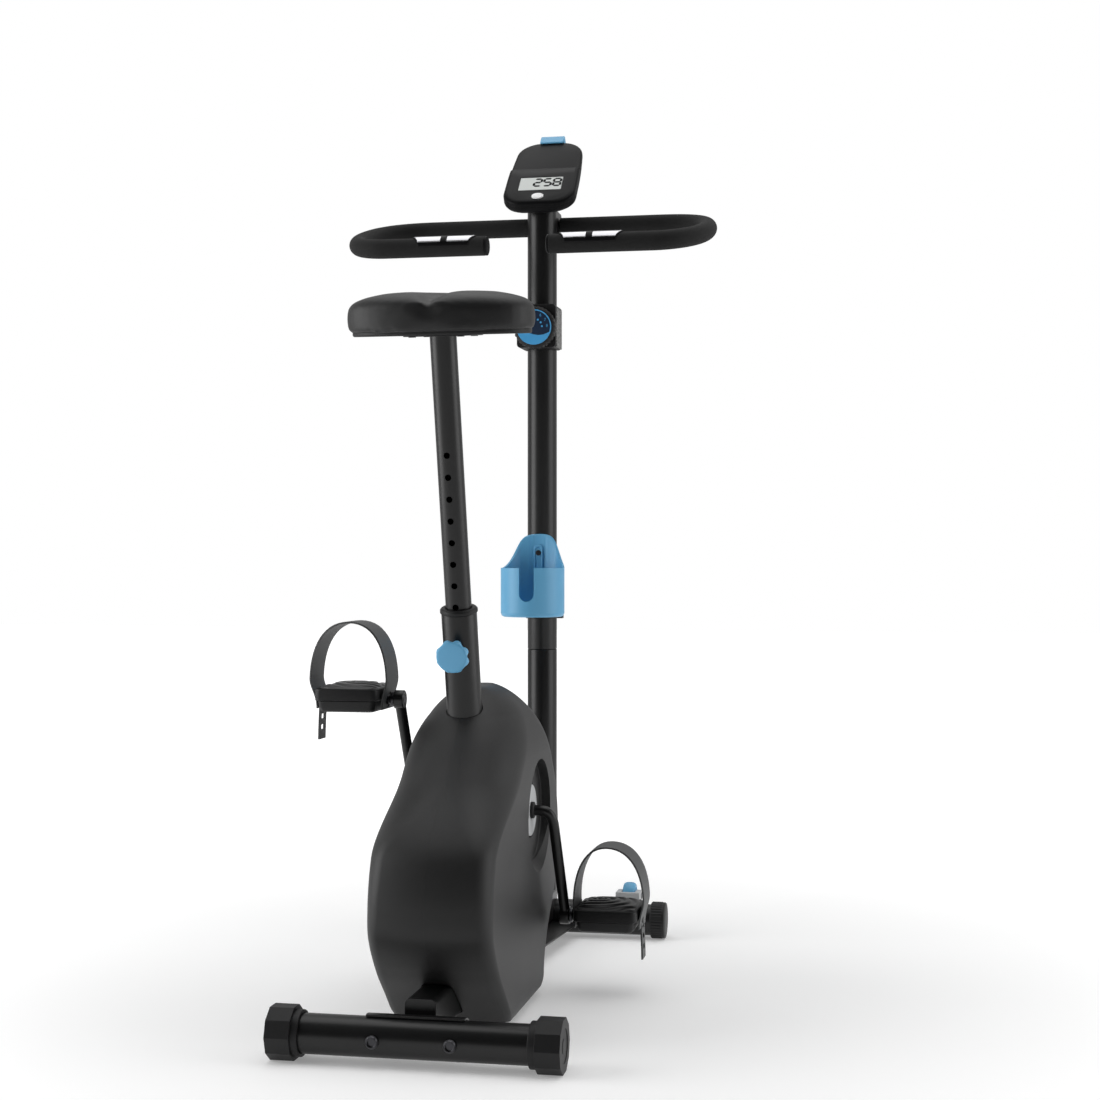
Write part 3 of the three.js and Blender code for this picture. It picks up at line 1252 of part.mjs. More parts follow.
function bottleHolder() {
  const { radius, wall, bottom, rim } = bottle;
  const back = bottleBack;
  const cup = turned([
    [0, bottom], [radius - 4, bottom], [radius, bottom + 4], [radius, back], [radius - wall, back],
    [radius - wall, bottom + 5], [radius - 5, bottom + wall], [0, bottom + wall],
  ], 'z', fineSides);
  const above = new THREE.Shape();
  above.moveTo(-radius - 5, rim);
  above.lineTo(4, rim);
  above.bezierCurveTo(26, rim + 3, radius * 0.66, rim + 16, radius * 0.78, rim + 36);
  above.quadraticCurveTo(radius * 0.9, back - 2, radius - wall, back + 1);
  above.lineTo(radius - wall, back + 20);
  above.lineTo(-radius - 5, back + 20);
  const trim = extrudedAcross(above, -radius - 5, radius + 5, 4);
  const slotShape = new THREE.Shape();
  const slotTop = rim + 5;
  slotShape.moveTo(-bottle.slotHalfWidth, slotTop);
  slotShape.lineTo(-bottle.slotHalfWidth, bottle.slotBottom + bottle.slotHalfWidth);
  slotShape.absarc(0, bottle.slotBottom + bottle.slotHalfWidth, bottle.slotHalfWidth, Math.PI, Math.PI * 2);
  slotShape.lineTo(bottle.slotHalfWidth, slotTop);
  const slot = extrudedAlong(slotShape, -radius - 5, -radius / 2, 6);
  const drain = rod(bottle.drain, bottom - 1, bottom + wall + 1, 'z', 8);
  return cut(cup, trim, slot, drain).translate(0, cupY, 0);
}
add('bottle_holder', bottleHolder(), bluePlastic);

// band round the post with a spine that the holder's back is screwed to
function bottleClamp() {
  const { bandBottom, bandHeight, spineHalfWidth } = bottle;
  const spineTop = bottleBack - 8;
  const ring = upright(bandOuter, post.radius + gap, bandBottom, bandBottom + bandHeight);
  const band = placed(ring, 0, post.y, 0);
  const spine = block(
    [-spineHalfWidth, post.y - bandOuter, bandBottom],
    [spineHalfWidth, post.y - post.radius + 3, spineTop],
  );
  const ear = block(
    [bandOuter - 3, post.y - 7, bandBottom],
    [bandOuter + 8, post.y + 7, bandBottom + bandHeight],
  );
  const bore = placed(rod(post.radius + gap, bandBottom - 1, spineTop + 10, 'z'), 0, post.y, 0);
  return cut(join(band, spine, ear), bore);
}
add('bottle_clamp', bottleClamp(), blackPlastic);

// ---------------------------------------------------------------- origin on the floor under the middle
const box = new THREE.Box3().setFromObject(bike);
bike.position.set(0, -(box.min.y + box.max.y) / 2, -box.min.z);
const model = new THREE.Group();
model.add(bike);
model.updateMatrixWorld(true);

export default model;
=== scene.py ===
"""The looks of the upright exercise bike: every visible piece, its finish, the light and the camera.

Lengths are millimetres in the bike's building frame: X is the rider's right, Y runs forwards from the rear
foot's axis, Z up from the floor. mesh_object() turns them into the row frame's metres.
"""
import math
import bmesh
import bpy
from mathutils import Matrix, Vector


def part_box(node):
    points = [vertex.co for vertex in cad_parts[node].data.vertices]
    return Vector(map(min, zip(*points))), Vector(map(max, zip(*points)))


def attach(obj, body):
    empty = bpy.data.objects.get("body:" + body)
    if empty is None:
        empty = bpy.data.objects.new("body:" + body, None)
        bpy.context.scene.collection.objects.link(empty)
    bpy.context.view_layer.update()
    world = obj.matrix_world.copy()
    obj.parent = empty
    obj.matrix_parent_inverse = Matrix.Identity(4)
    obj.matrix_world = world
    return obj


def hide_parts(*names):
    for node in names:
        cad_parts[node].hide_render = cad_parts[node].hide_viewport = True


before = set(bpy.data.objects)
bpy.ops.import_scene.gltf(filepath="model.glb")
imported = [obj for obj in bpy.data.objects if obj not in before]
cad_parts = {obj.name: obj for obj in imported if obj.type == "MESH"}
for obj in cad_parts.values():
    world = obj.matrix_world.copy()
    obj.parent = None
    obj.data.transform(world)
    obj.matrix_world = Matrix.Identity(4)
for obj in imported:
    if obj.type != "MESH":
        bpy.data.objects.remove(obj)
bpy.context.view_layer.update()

MM = 0.001
low_corner, high_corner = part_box("rear_foot_tube")
REAR_AXIS_Y = (low_corner[1] + high_corner[1]) / 2 / MM
BIKE = Matrix.Translation((0, REAR_AXIS_Y, 0))
SIDES = (("left", -1), ("right", 1))


# ------------------------------------------------------------------ materials
def add_node(owner, kind, values=None):
    """A shader node in a material or a world, with the named inputs set."""
    node = owner.node_tree.nodes.new("ShaderNode" + kind)
    for name, value in (values or {}).items():
        node.inputs[name].default_value = value
    return node


def add_link(owner, source, output, target, socket):
    owner.node_tree.links.new(source.outputs[output], target.inputs[socket])


def shader_of(material):
    return material.node_tree.nodes["Principled BSDF"]


def add_bump(material, source, output, strength, distance):
    bump = add_node(material, "Bump", {"Strength": strength, "Distance": distance})
    add_link(material, source, output, bump, "Height")
    add_link(material, bump, "Normal", shader_of(material), "Normal")


def add_grain(material, scale, strength, distance=0.0003, detail=4.0):
    """Fine bump in the object's own space, scale in waves per metre."""
    noise = add_node(material, "TexNoise", {"Scale": scale, "Detail": detail})
    add_link(material, add_node(material, "TexCoord"), "Object", noise, "Vector")
    add_bump(material, noise, "Fac", strength, distance)
    return noise


def add_uneven_gloss(material, scale, low, high):
    """Roughness that drifts a little over the surface."""
    noise = add_node(material, "TexNoise", {"Scale": scale})
    spread = add_node(material, "MapRange", {"To Min": low, "To Max": high})
    add_link(material, add_node(material, "TexCoord"), "Object", noise, "Vector")
    add_link(material, noise, "Fac", spread, "Value")
    add_link(material, spread, "Result", shader_of(material), "Roughness")


def plain(name, colour, roughness, metallic=0.0, specular=0.5, grain=()):
    """Even colour and roughness; a grain is given by the arguments of add_grain()."""
    material = bpy.data.materials.new(name)
    material.use_nodes = True
    sockets = shader_of(material).inputs
    sockets["Base Color"].default_value = (*colour, 1)
    sockets["Roughness"].default_value = roughness
    sockets["Metallic"].default_value = metallic
    sockets["Specular IOR Level"].default_value = specular
    if grain:
        add_grain(material, *grain)
    return material


def black_paint():
    material = plain("black_paint", (0.006, 0.006, 0.0062), 0.36, specular=0.42, grain=(900, 0.12))
    add_uneven_gloss(material, 14, 0.28, 0.36)
    return material


def black_plastic():
    return plain("black_plastic", (0.007, 0.007, 0.0075), 0.5, specular=0.35, grain=(1600, 0.25))


def smooth_plastic():
    return plain("smooth_plastic", (0.005, 0.005, 0.0055), 0.4, specular=0.09, grain=(700, 0.06))


def casing_plastic():
    material = plain("casing_plastic", (0.014, 0.014, 0.0143), 0.48, specular=0.4, grain=(1300, 0.3, 0.0004))
    add_uneven_gloss(material, 9, 0.46, 0.52)
    return material


def blue_plastic():
    return plain("blue_plastic", (0.13, 0.42, 0.68), 0.4, grain=(1200, 0.12))


def pale_grey_plastic():
    return plain("pale_grey_plastic", (0.52, 0.53, 0.54), 0.45, grain=(1200, 0.12))


def white_plastic():
    return plain("white_plastic", (0.95, 0.95, 0.95), 0.35)


def speckled_grey():
    """Mid grey with dark specks."""
    material = plain("speckled_grey", (0.2, 0.2, 0.2), 0.55)
    noise = add_grain(material, 500, 0.3)
    colours = add_node(material, "ValToRGB")
    dark, light = colours.color_ramp.elements
    dark.position = 0.45
    dark.color = (0.06, 0.06, 0.06, 1)
    light.position = 0.6
    light.color = (0.32, 0.32, 0.31, 1)
    add_link(material, noise, "Fac", colours, "Fac")
    add_link(material, colours, "Color", shader_of(material), "Base Color")
    return material


def chrome():
    return plain("chrome", (0.55, 0.55, 0.57), 0.16, metallic=1.0, grain=(300, 0.03))


def dark_steel():
    return plain("dark_steel", (0.06, 0.06, 0.065), 0.32, metallic=0.9, grain=(500, 0.1))


def bright_steel():
    return plain("bright_steel", (0.45, 0.45, 0.46), 0.35, metallic=1.0, grain=(400, 0.15))


def cast_iron():
    return plain("cast_iron", (0.1, 0.1, 0.105), 0.6, metallic=0.8, grain=(350, 0.5))


def foam():
    return plain("foam", (0.008, 0.008, 0.008), 0.8, specular=0.3, grain=(1500, 0.5, 0.0006, 6.0))


def strap_rubber():
    return plain("strap_rubber", (0.05, 0.052, 0.053), 0.5, grain=(900, 0.25))


def belt_rubber():
    return plain("belt_rubber", (0.02, 0.02, 0.02), 0.7, grain=(900, 0.3))


def pedal_rubber():
    return plain("pedal_rubber", (0.012, 0.012, 0.0124), 0.42, specular=0.4, grain=(900, 0.2))


# A lighter copy of pedal_rubber for the left pedal's tread only: painted light, where the light on its ribs
# makes it look paler.
def pedal_rubber_painted_lighter():
    return plain("pedal_rubber_painted_lighter", (0.1, 0.1, 0.101), 0.34, grain=(900, 0.1))


def saddle_cover():
    """Vinyl pressed with small cells."""
    material = plain("saddle_cover", (0.009, 0.009, 0.0093), 0.5, specular=0.4)
    cells = add_node(material, "TexVoronoi", {"Scale": 900})
    cells.feature = "DISTANCE_TO_EDGE"
    add_link(material, add_node(material, "TexCoord"), "Object", cells, "Vector")
    add_bump(material, cells, "Distance", 0.22, 0.0003)
    return material


def display_glass():
    return plain("display_glass", (0.66, 0.69, 0.67), 0.3, specular=0.3)


def display_ink():
    return plain("display_ink", (0.006, 0.007, 0.007), 0.6, specular=0.1)


def dial_ink():
    return plain("dial_ink", (0.006, 0.02, 0.05), 0.4)


def dial_blue():
    return plain("dial_blue", (0.07, 0.36, 0.70), 0.35)


def floor_with_painted_shade():
    """Matt white that glows bright far from the object, to meet the white backdrop, and dimmer close to it: a
    painted shade round the object.

    The glow is only what is seen of the floor: in reflections it stays at its low, even value.
    """
    material = plain("floor_with_painted_shade", (0.8, 0.8, 0.8), 0.8, specular=0.1)
    shader = shader_of(material)
    distance = add_node(material, "VectorMath")
    distance.operation = "LENGTH"
    # painted shade: the glow falls from 1.0 at 3 m to 0.22 next to the object, standing in for the shade it
    # casts on the floor
    glow = add_node(material, "MapRange", {"From Min": 0.2, "From Max": 3.0, "To Min": 0.22, "To Max": 1.0})
    glow.interpolation_type = "SMOOTHSTEP"
    share = add_node(material, "MapRange", {"To Min": 0.25})
    add_link(material, add_node(material, "TexCoord"), "Object", distance, 0)
    add_link(material, distance, "Value", glow, "Value")
    add_link(material, add_node(material, "LightPath"), "Is Camera Ray", share, "Value")
    add_link(material, glow, "Result", share, "To Max")
    add_link(material, share, "Result", shader, "Emission Strength")
    shader.inputs["Emission Color"].default_value = (1, 1, 1, 1)
    return material


BUILDERS = (black_paint, black_plastic, smooth_plastic, casing_plastic, blue_plastic, pale_grey_plastic,
            white_plastic, speckled_grey, chrome, dark_steel, bright_steel, cast_iron, foam, strap_rubber,
            belt_rubber, pedal_rubber, pedal_rubber_painted_lighter, saddle_cover, display_glass, display_ink, dial_ink,
            dial_blue, floor_with_painted_shade)
MATERIALS = {builder.__name__: builder() for builder in BUILDERS}


# ------------------------------------------------------------------ mesh builders
AXES = {
    "x": Matrix(((0, 0, 1, 0), (1, 0, 0, 0), (0, 1, 0, 0), (0, 0, 0, 1))),
    "y": Matrix(((1, 0, 0, 0), (0, 0, 1, 0), (0, 1, 0, 0), (0, 0, 0, 1))),
    "z": Matrix.Identity(4),
}
MIRROR = Matrix.Scale(-1, 4, (1, 0, 0))
HUB = 0.01  # radius at which a turned face ends, next to nothing


def from_loops(loops):
    """Joins rings of equal length and caps both ends."""
    count = len(loops[0])
    vertices = [Vector(point) for loop in loops for point in loop]
    faces = []
    for a in range(0, (len(loops) - 1) * count, count):
        for i in range(count):
            j = (i + 1) % count
            faces.append((a + i, a + j, a + count + j, a + count + i))
    faces.append(tuple(range(count))[::-1])
    faces.append(tuple(range((len(loops) - 1) * count, len(loops) * count)))
    return vertices, faces


def lathe(profile, axis, sides=72):
    """Turns (radius, height) pairs about an axis. A profile that ends where it starts makes a ring."""
    ring = profile[0] == profile[-1]
    points = profile[:-1] if ring else profile
    turn = AXES[axis]
    vertices = []
    for k in range(sides):
        angle = 2 * math.pi * k / sides
        vertices += [turn @ Vector((r * math.cos(angle), r * math.sin(angle), h)) for r, h in points]
    count = len(points)
    faces = []
    for k in range(sides):
        a = k * count
        b = ((k + 1) % sides) * count
        for i in range(count if ring else count - 1):
            j = (i + 1) % count
            faces.append((a + i, b + i, b + j, a + j))
    return vertices, faces


def closed(profile):
    """The profile of a ring: it ends where it starts."""
    return profile + [profile[0]]


def fluted(rings, flutes, steps, groove, axis):
    """Rings of (height, radius, depth). groove() turns 0 to 1 across each flute into a share of the depth."""
    turn = AXES[axis]
    loops = []
    for height, radius, depth in rings:
        loop = []
        for i in range(steps):
            angle = 2 * math.pi * i / steps
            reach = radius - depth * groove(0.5 + 0.5 * math.cos(flutes * angle))
            loop.append(turn @ Vector((reach * math.cos(angle), reach * math.sin(angle), height)))
        loops.append(loop)
    return from_loops(loops)


def rounded(profile, radius, steps=4):
    """Rounds every inner corner of an open profile by up to that radius."""
    result = [profile[0]]
    for before, corner, after in zip(profile, profile[1:], profile[2:]):
        corner = Vector(corner)
        back = Vector(before) - corner
        ahead = Vector(after) - corner
        reach = min(radius, back.length * 0.45, ahead.length * 0.45)
        start = corner + back.normalized() * reach
        end = corner + ahead.normalized() * reach
        for i in range(steps + 1):
            t = i / steps
            result.append(tuple(start.lerp(corner, t).lerp(corner.lerp(end, t), t)))
    result.append(profile[-1])
    return result


def prism(outline, low, high, axis):
    """Extrudes an outline: (y, z) along x, (x, z) along y or (x, y) along z."""
    turn = AXES[axis]
    return from_loops([[turn @ Vector((a, b, height)) for a, b in outline] for height in (low, high)])


def arc(cx, cy, radius, start, end, steps=12):
    """Points on an arc, angles in degrees."""
    angles = [math.radians(start + (end - start) * i / steps) for i in range(steps + 1)]
    return [(cx + radius * math.cos(a), cy + radius * math.sin(a)) for a in angles]


def box_outline(half, low, high, radius, steps=6):
    """A box from -half to half and from low to high, with round corners."""
    points = arc(half - radius, low + radius, radius, -90, 0, steps)
    points += arc(half - radius, high - radius, radius, 0, 90, steps)
    points += arc(-half + radius, high - radius, radius, 90, 180, steps)
    points += arc(-half + radius, low + radius, radius, 180, 270, steps)
    return points


def bezier(p0, p1, p2, p3, steps):
    result = []
    for i in range(steps + 1):
        t = i / steps
        s = 1 - t
        weights = (s ** 3, 3 * s * s * t, 3 * s * t * t, t ** 3)
        result.append(tuple(sum(w * p[k] for w, p in zip(weights, (p0, p1, p2, p3))) for k in range(len(p0))))
    return result


def sweep(path, section, up):
    """Carries a section of (across, up) pairs along a path; up is the direction the section keeps."""
    path = [Vector(point) for point in path]
    up = Vector(up)
    loops = []
    for i, centre in enumerate(path):
        ahead = path[min(i + 1, len(path) - 1)] - path[max(i - 1, 0)]
        across = ahead.cross(up).normalized()
        loops.append([centre + across * a + up * b for a, b in section])
    return from_loops(loops)


def circle(radius, sides):
    return [(radius * math.cos(2 * math.pi * i / sides), radius * math.sin(2 * math.pi * i / sides))
            for i in range(sides)]


def joined(*parts):
    """Several (vertices, faces) pairs as one."""
    vertices = []
    faces = []
    for part_vertices, part_faces in parts:
        start = len(vertices)
        vertices += part_vertices
        faces += [tuple(index + start for index in face) for face in part_faces]
    return vertices, faces


def moved(part, x, y=0, z=0):
    offset = Vector((x, y, z))
    return [Vector(v) + offset for v in part[0]], part[1]


def resized(part, factor):
    return [Vector(v) * factor for v in part[0]], part[1]


def turned(part, degrees, axis):
    turn = Matrix.Rotation(math.radians(degrees), 3, axis)
    return [turn @ Vector(v) for v in part[0]], part[1]


def shifted(at, x=0, y=0, z=0):
    """That place moved along its own axes."""
    return at @ Matrix.Translation((x, y, z))


def tilted(at, degrees):
    """That place turned about its own X."""
    return at @ Matrix.Rotation(math.radians(degrees), 4, "X")


# ------------------------------------------------------------------ objects
def mesh_object(name, part, at=BIKE, mirrored=False):
    """A mesh in the row frame from a part in the building frame."""
    vertices, faces = part
    place = Matrix.Scale(MM, 4) @ at
    if mirrored:
        place = place @ MIRROR
    mesh = bpy.data.meshes.new(name)
    mesh.from_pydata([place @ Vector(v) for v in vertices], [], faces)
    whole = bmesh.new()
    whole.from_mesh(mesh)
    bmesh.ops.remove_doubles(whole, verts=whole.verts, dist=1e-6)
    bmesh.ops.recalc_face_normals(whole, faces=whole.faces)
    whole.to_mesh(mesh)
    whole.free()
    obj = bpy.data.objects.new(name, mesh)
    bpy.context.scene.collection.objects.link(obj)
    return obj


def tool(part, at=BIKE, mirrored=False):
    """A solid that only cuts or joins another."""
    return mesh_object("tool", part, at, mirrored)


def apply_modifiers(obj):
    depsgraph = bpy.context.evaluated_depsgraph_get()
    mesh = bpy.data.meshes.new_from_object(obj.evaluated_get(depsgraph))
    obj.modifiers.clear()
    old = obj.data
    obj.data = mesh
    bpy.data.meshes.remove(old)


def combine(obj, tools, operation):
    for other in tools:
        modifier = obj.modifiers.new("combine", "BOOLEAN")
        modifier.operation = operation
        modifier.solver = "EXACT"
        modifier.object = other
        apply_modifiers(obj)
        bpy.data.objects.remove(other)


def carve(obj, *tools):
    combine(obj, tools, "DIFFERENCE")


def soften(obj, width, segments=3, angle=35):
    """Rounded edges wherever two faces meet at more than the angle."""
    modifier = obj.modifiers.new("soften", "BEVEL")
    modifier.width = width * MM
    modifier.segments = segments
    modifier.limit_method = "ANGLE"
    modifier.angle_limit = math.radians(angle)
    return modifier


def soften_off_centre(obj, width):
    """Rounded sharp edges, apart from those on the middle plane where two halves meet."""
    whole = bmesh.new()
    whole.from_mesh(obj.data)
    weight = whole.edges.layers.float.new("bevel_weight_edge")
    for edge in whole.edges:
        at_middle = all(abs(vertex.co.x) < 1e-4 for vertex in edge.verts)
        sharp = len(edge.link_faces) == 2 and edge.calc_face_angle() > math.radians(40)
        edge[weight] = 1.0 if sharp and not at_middle else 0.0
    whole.to_mesh(obj.data)
    whole.free()
    soften(obj, width, 2).limit_method = "WEIGHT"


def dress(obj, finish, body, replaced=(), smooth=40):
    """Gives a piece its finish, its shading and the CAD body it moves with."""
    obj.data.materials.clear()
    obj.data.materials.append(MATERIALS[finish])
    obj.data.shade_smooth()
    obj.data.set_sharp_from_angle(angle=math.radians(smooth))
    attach(obj, body)
    if replaced:
        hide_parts(*replaced)
    return obj


def piece(name, part, finish, body="frame", replaced=(), at=BIKE, mirrored=False,
          cuts=(), edge=(), smooth=40):
    """A part cut by others in its own place; its edges are softened with the arguments of soften()."""
    obj = mesh_object(name, part, at, mirrored)
    carve(obj, *[tool(cut, at, mirrored) for cut in cuts])
    if edge:
        soften(obj, *edge)
    return dress(obj, finish, body, replaced, smooth)


# ------------------------------------------------------------------ shared sizes
# a foot's plate runs from one angle to another, in degrees from +Y
REAR_FOOT = dict(half=185.5, radius=25, cap=33, cap_length=32, collar=9, flats=10, eccentric=1.5,
                 plate=(-32, 101))
FRONT_FOOT = dict(y=806, half=202, radius=25, cap=29.5, cap_length=23, ribs=36, plate=(79, 212))
GAP = 0.3  # play between parts that fit over one another
PLATE = 3.5
BOLT_X = 49
POST_Y = 788
POST_RADIUS = 24
POST_SEAM = 471
BEAM = dict(half=20, low=27, high=77, corner=7, start=20, end=814)
SEAT_LEAN = 13.4
SEAT_Y = 332
SEAT = tilted(shifted(BIKE, 0, SEAT_Y, BEAM["high"]), SEAT_LEAN)
SEAT_TUBE_RADIUS = 24
KNOB_BOSS = 15  # how far the boss stands out from the tube
SEAT_TOP = 486
SEAT_POST_TOP = 847
PIN_HEIGHT = 438.2
HOLE_PITCH = 29.4
CRANK_Y = 365.5
CRANK_Z = 266
CRANK_LENGTH = 170
CRANK_ARM = 106  # how far out the eyes stand
CRANK_LEAN = 21.2
PEDAL_X = 171
PEDAL_HALF = (45, 50)
STRAP = 2.4
BAR_NEAR = (593, 1103.5)
BAR_FAR = (825, 1169.6)
BAR_DEPTH = math.dist(BAR_NEAR, BAR_FAR)
BAR_PITCH = math.atan2(BAR_FAR[1] - BAR_NEAR[1], BAR_FAR[0] - BAR_NEAR[0])
BAR = BIKE @ Matrix.Translation((0, *BAR_NEAR)) @ Matrix.Rotation(BAR_PITCH, 4, "X")
FOAM = 15
CONSOLE_TILT = 44.5
CONSOLE = tilted(shifted(BIKE, 0, 812.8, 1249.8), CONSOLE_TILT)
DIAL_Z = 992
DIAL_FACE_Y = 718


# ------------------------------------------------------------------ feet
def curved_plate(radius, half, start, end):
    """A bent plate about the foot's axis, from one angle to another in degrees from +Y."""
    inner = arc(0, 0, radius + GAP, start, end, 24)
    outer = arc(0, 0, radius + GAP + PLATE, end, start, 24)
    return prism(inner + outer, -half, half, "x")


def bolt():
    """Button head with a hexagonal socket, its axis on Y and its seat at zero, facing -Y."""
    head = rounded([(HUB, 0), (8.5, 0), (8.5, -2.2), (6.6, -5), (5.6, -5)], 1.6)
    socket = [(5.1, -4.6), (5.1, -2.2), (HUB, -2.2)]
    return lathe(head + socket, "y", 48)


def foot_tube(name, foot, at):
    """The cross tube, which ends inside its caps, and the bent plate above it."""
    r = foot["radius"]
    end = foot["half"] - 2.3
    tube = lathe(closed([(r - 2, -end), (r, -end), (r, end), (r - 2, end)]), "x")
    piece(f"{name}_tube", tube, "black_paint", replaced=[f"{name}_foot_tube"], at=at)
    plate = curved_plate(r, 63, *foot["plate"])
    piece(f"{name}_plate", plate, "black_paint", replaced=[f"{name}_foot_bracket"], at=at, edge=(1.0,))


def rear_foot():
    at = shifted(BIKE, z=REAR_FOOT["cap"])
    foot_tube("rear", REAR_FOOT, at)
    for name, side in SIDES:
        head = moved(bolt(), side * BOLT_X, -REAR_FOOT["radius"] - GAP)
        piece(f"rear_bolt_{name}", head, "dark_steel", replaced=[f"rear_foot_bolt_{name}"], at=at)
        rear_cap(name, side, at)


def rear_cap(name, side, at):
    """Ten flats round an off-centre bore, so that turning it levels the bike."""
    flats = REAR_FOOT["flats"]
    corner = REAR_FOOT["cap"] / math.cos(math.pi / flats)
    angles = [2 * math.pi * (i + 0.5) / flats - math.pi / 2 for i in range(flats)]
    outline = [(REAR_FOOT["eccentric"] + corner * math.cos(a), corner * math.sin(a)) for a in angles]
    end = REAR_FOOT["half"]
    start = end - REAR_FOOT["cap_length"]
    inner = REAR_FOOT["radius"] + 0.6
    recess = moved(prism(circle(21, 48), end - 1.2, end + 2, "x"), 0, REAR_FOOT["eccentric"])
    bore = prism(circle(inner, 64), start - 2, end - 6, "x")
    place = dict(body=f"rear_cap_{name}", at=at, mirrored=side < 0)
    piece(f"rear_cap_{name}", prism(outline, start, end, "x"), "black_plastic",
          replaced=[f"rear_foot_cap_{name}"], cuts=[recess, bore], edge=(1.6, 3, 25), smooth=30, **place)
    back = start - REAR_FOOT["collar"]
    outside = rounded([(inner + 0.1, back), (29, back), (29, start + 1)], 1.2)
    collar = lathe(closed([(inner, back)] + outside + [(inner, start + 1)]), "x")
    piece(f"rear_collar_{name}", collar, "black_plastic", **place)
    hub = lathe(rounded([(HUB, end - 0.4), (9, end - 0.4), (10, end - 1.4)], 0.5), "x", 48)
    piece(f"rear_cap_hub_{name}", hub, "black_plastic", **place)


def front_foot():
    at = shifted(BIKE, 0, FRONT_FOOT["y"], FRONT_FOOT["cap"])
    foot_tube("front", FRONT_FOOT, at)
    gusset()
    for name, side in SIDES:
        head = moved(turned(bolt(), 180, "Z"), side * BOLT_X, FRONT_FOOT["radius"] + GAP)
        piece(f"front_bolt_{name}", head, "dark_steel", replaced=[f"front_foot_bolt_{name}"], at=at)
        front_cap(name, side, at)
        transport_wheel(name, side, at)


def gusset():
    """Flared plate under the beam that carries the front foot."""
    reach = FRONT_FOOT["y"] - FRONT_FOOT["radius"] - 1.3
    outline = [(-27, 430), (27, 430), (62, reach), (-62, reach)]
    top = BEAM["low"] - GAP
    piece("gusset", prism(outline, top - PLATE, top, "z"), "black_paint", edge=(0.8,))


def narrow_groove(share):
    return (1 - share) ** 2


def front_cap(name, side, at):
    """Ribbed cap with a plain end."""
    end = FRONT_FOOT["half"]
    cap = FRONT_FOOT["cap"]
    ribs = FRONT_FOOT["ribs"]
    start = end - FRONT_FOOT["cap_length"]
    rings = ((start, cap - 1.2, 0), (start + 1.5, cap, 0), (start + 2.5, cap, 1.3), (end - 5.5, cap, 1.3),
             (end - 4.5, cap - 0.6, 0), (end - 1, cap - 0.8, 0), (end, cap - 1.8, 0))
    piece(f"front_cap_{name}", fluted(rings, ribs, ribs * 6, narrow_groove, "x"), "black_plastic",
          replaced=[f"front_foot_cap_{name}"], at=at, mirrored=side < 0, smooth=50)


WHEEL = dict(x=137, reach=38.5, z=61, radius=22, half=10)


def transport_wheel(name, side, at):
    """Wheel with a domed tread, in its bracket on the foot's tube."""
    place = shifted(at, side * WHEEL["x"])
    reach = WHEEL["reach"]
    z = WHEEL["z"] - FRONT_FOOT["cap"]
    half = WHEEL["half"]
    dome = half - 1.5
    face = [(4.3, -half), (8, -half), (8, -dome), (13, -dome), (14, -half), (17.5, -half)]
    face += [(17.5 + 4.5 * math.sin(math.radians(a)), dome * (1 - math.cos(math.radians(a))) - half)
             for a in range(15, 91, 15)]
    wheel = lathe(closed(face + [(radius, -x) for radius, x in reversed(face)]), "x", 64)
    piece(f"wheel_{name}", moved(wheel, 0, reach, z), "blue_plastic", f"wheel_{name}",
          [f"transport_wheel_{name}"], at=place, smooth=50)
    inner = half + 1
    outer = inner + 8.5
    eye = WHEEL["radius"] * 0.45
    arm = [(8.75, -5)] + arc(reach, z, eye, -60, 90) + [(8.75, z + eye)]
    slot = prism(box_outline(inner, -100, 100, 0.5), 15, 100, "y")
    tube = prism(circle(FRONT_FOOT["radius"] + GAP, 64), -40, 40, "x")
    piece(f"wheel_bracket_{name}", prism(arm, -outer, outer, "x"), "pale_grey_plastic",
          replaced=[f"wheel_bracket_{name}"], at=place, cuts=[slot, tube], edge=(1.4,))
    head = [(HUB, -outer - 0.8), (5, -outer - 0.8), (5.5, -outer + 0.2), (4, -outer + 0.2)]
    pin = lathe(rounded(head + [(radius, -x) for radius, x in reversed(head)], 0.4), "x", 32)
    piece(f"wheel_pin_{name}", moved(pin, 0, reach, z), "dark_steel", at=place)


# ------------------------------------------------------------------ beam and post
def weld(path, radius):
    """A run of overlapping beads."""
    shoulder = radius * 0.7
    bead = lathe([(HUB, -radius), (shoulder, -shoulder), (radius, 0), (shoulder, shoulder), (HUB, radius)],
                 "z", 12)
    return joined(*[moved(bead, *point) for point in path])


def beam():
    """Box tube, cut round at both ends where it meets the feet."""
    outline = box_outline(BEAM["half"], BEAM["low"], BEAM["high"], BEAM["corner"])
    cope = prism(circle(29.1, 96), -40, 40, "x")
    piece("beam", prism(outline, BEAM["start"], BEAM["end"], "y"), "black_paint", replaced=["frame_beam"],
          cuts=[moved(cope, 0, 0, REAR_FOOT["cap"]), moved(cope, 0, FRONT_FOOT["y"], FRONT_FOOT["cap"])],
          edge=(0.8, 2, 50))


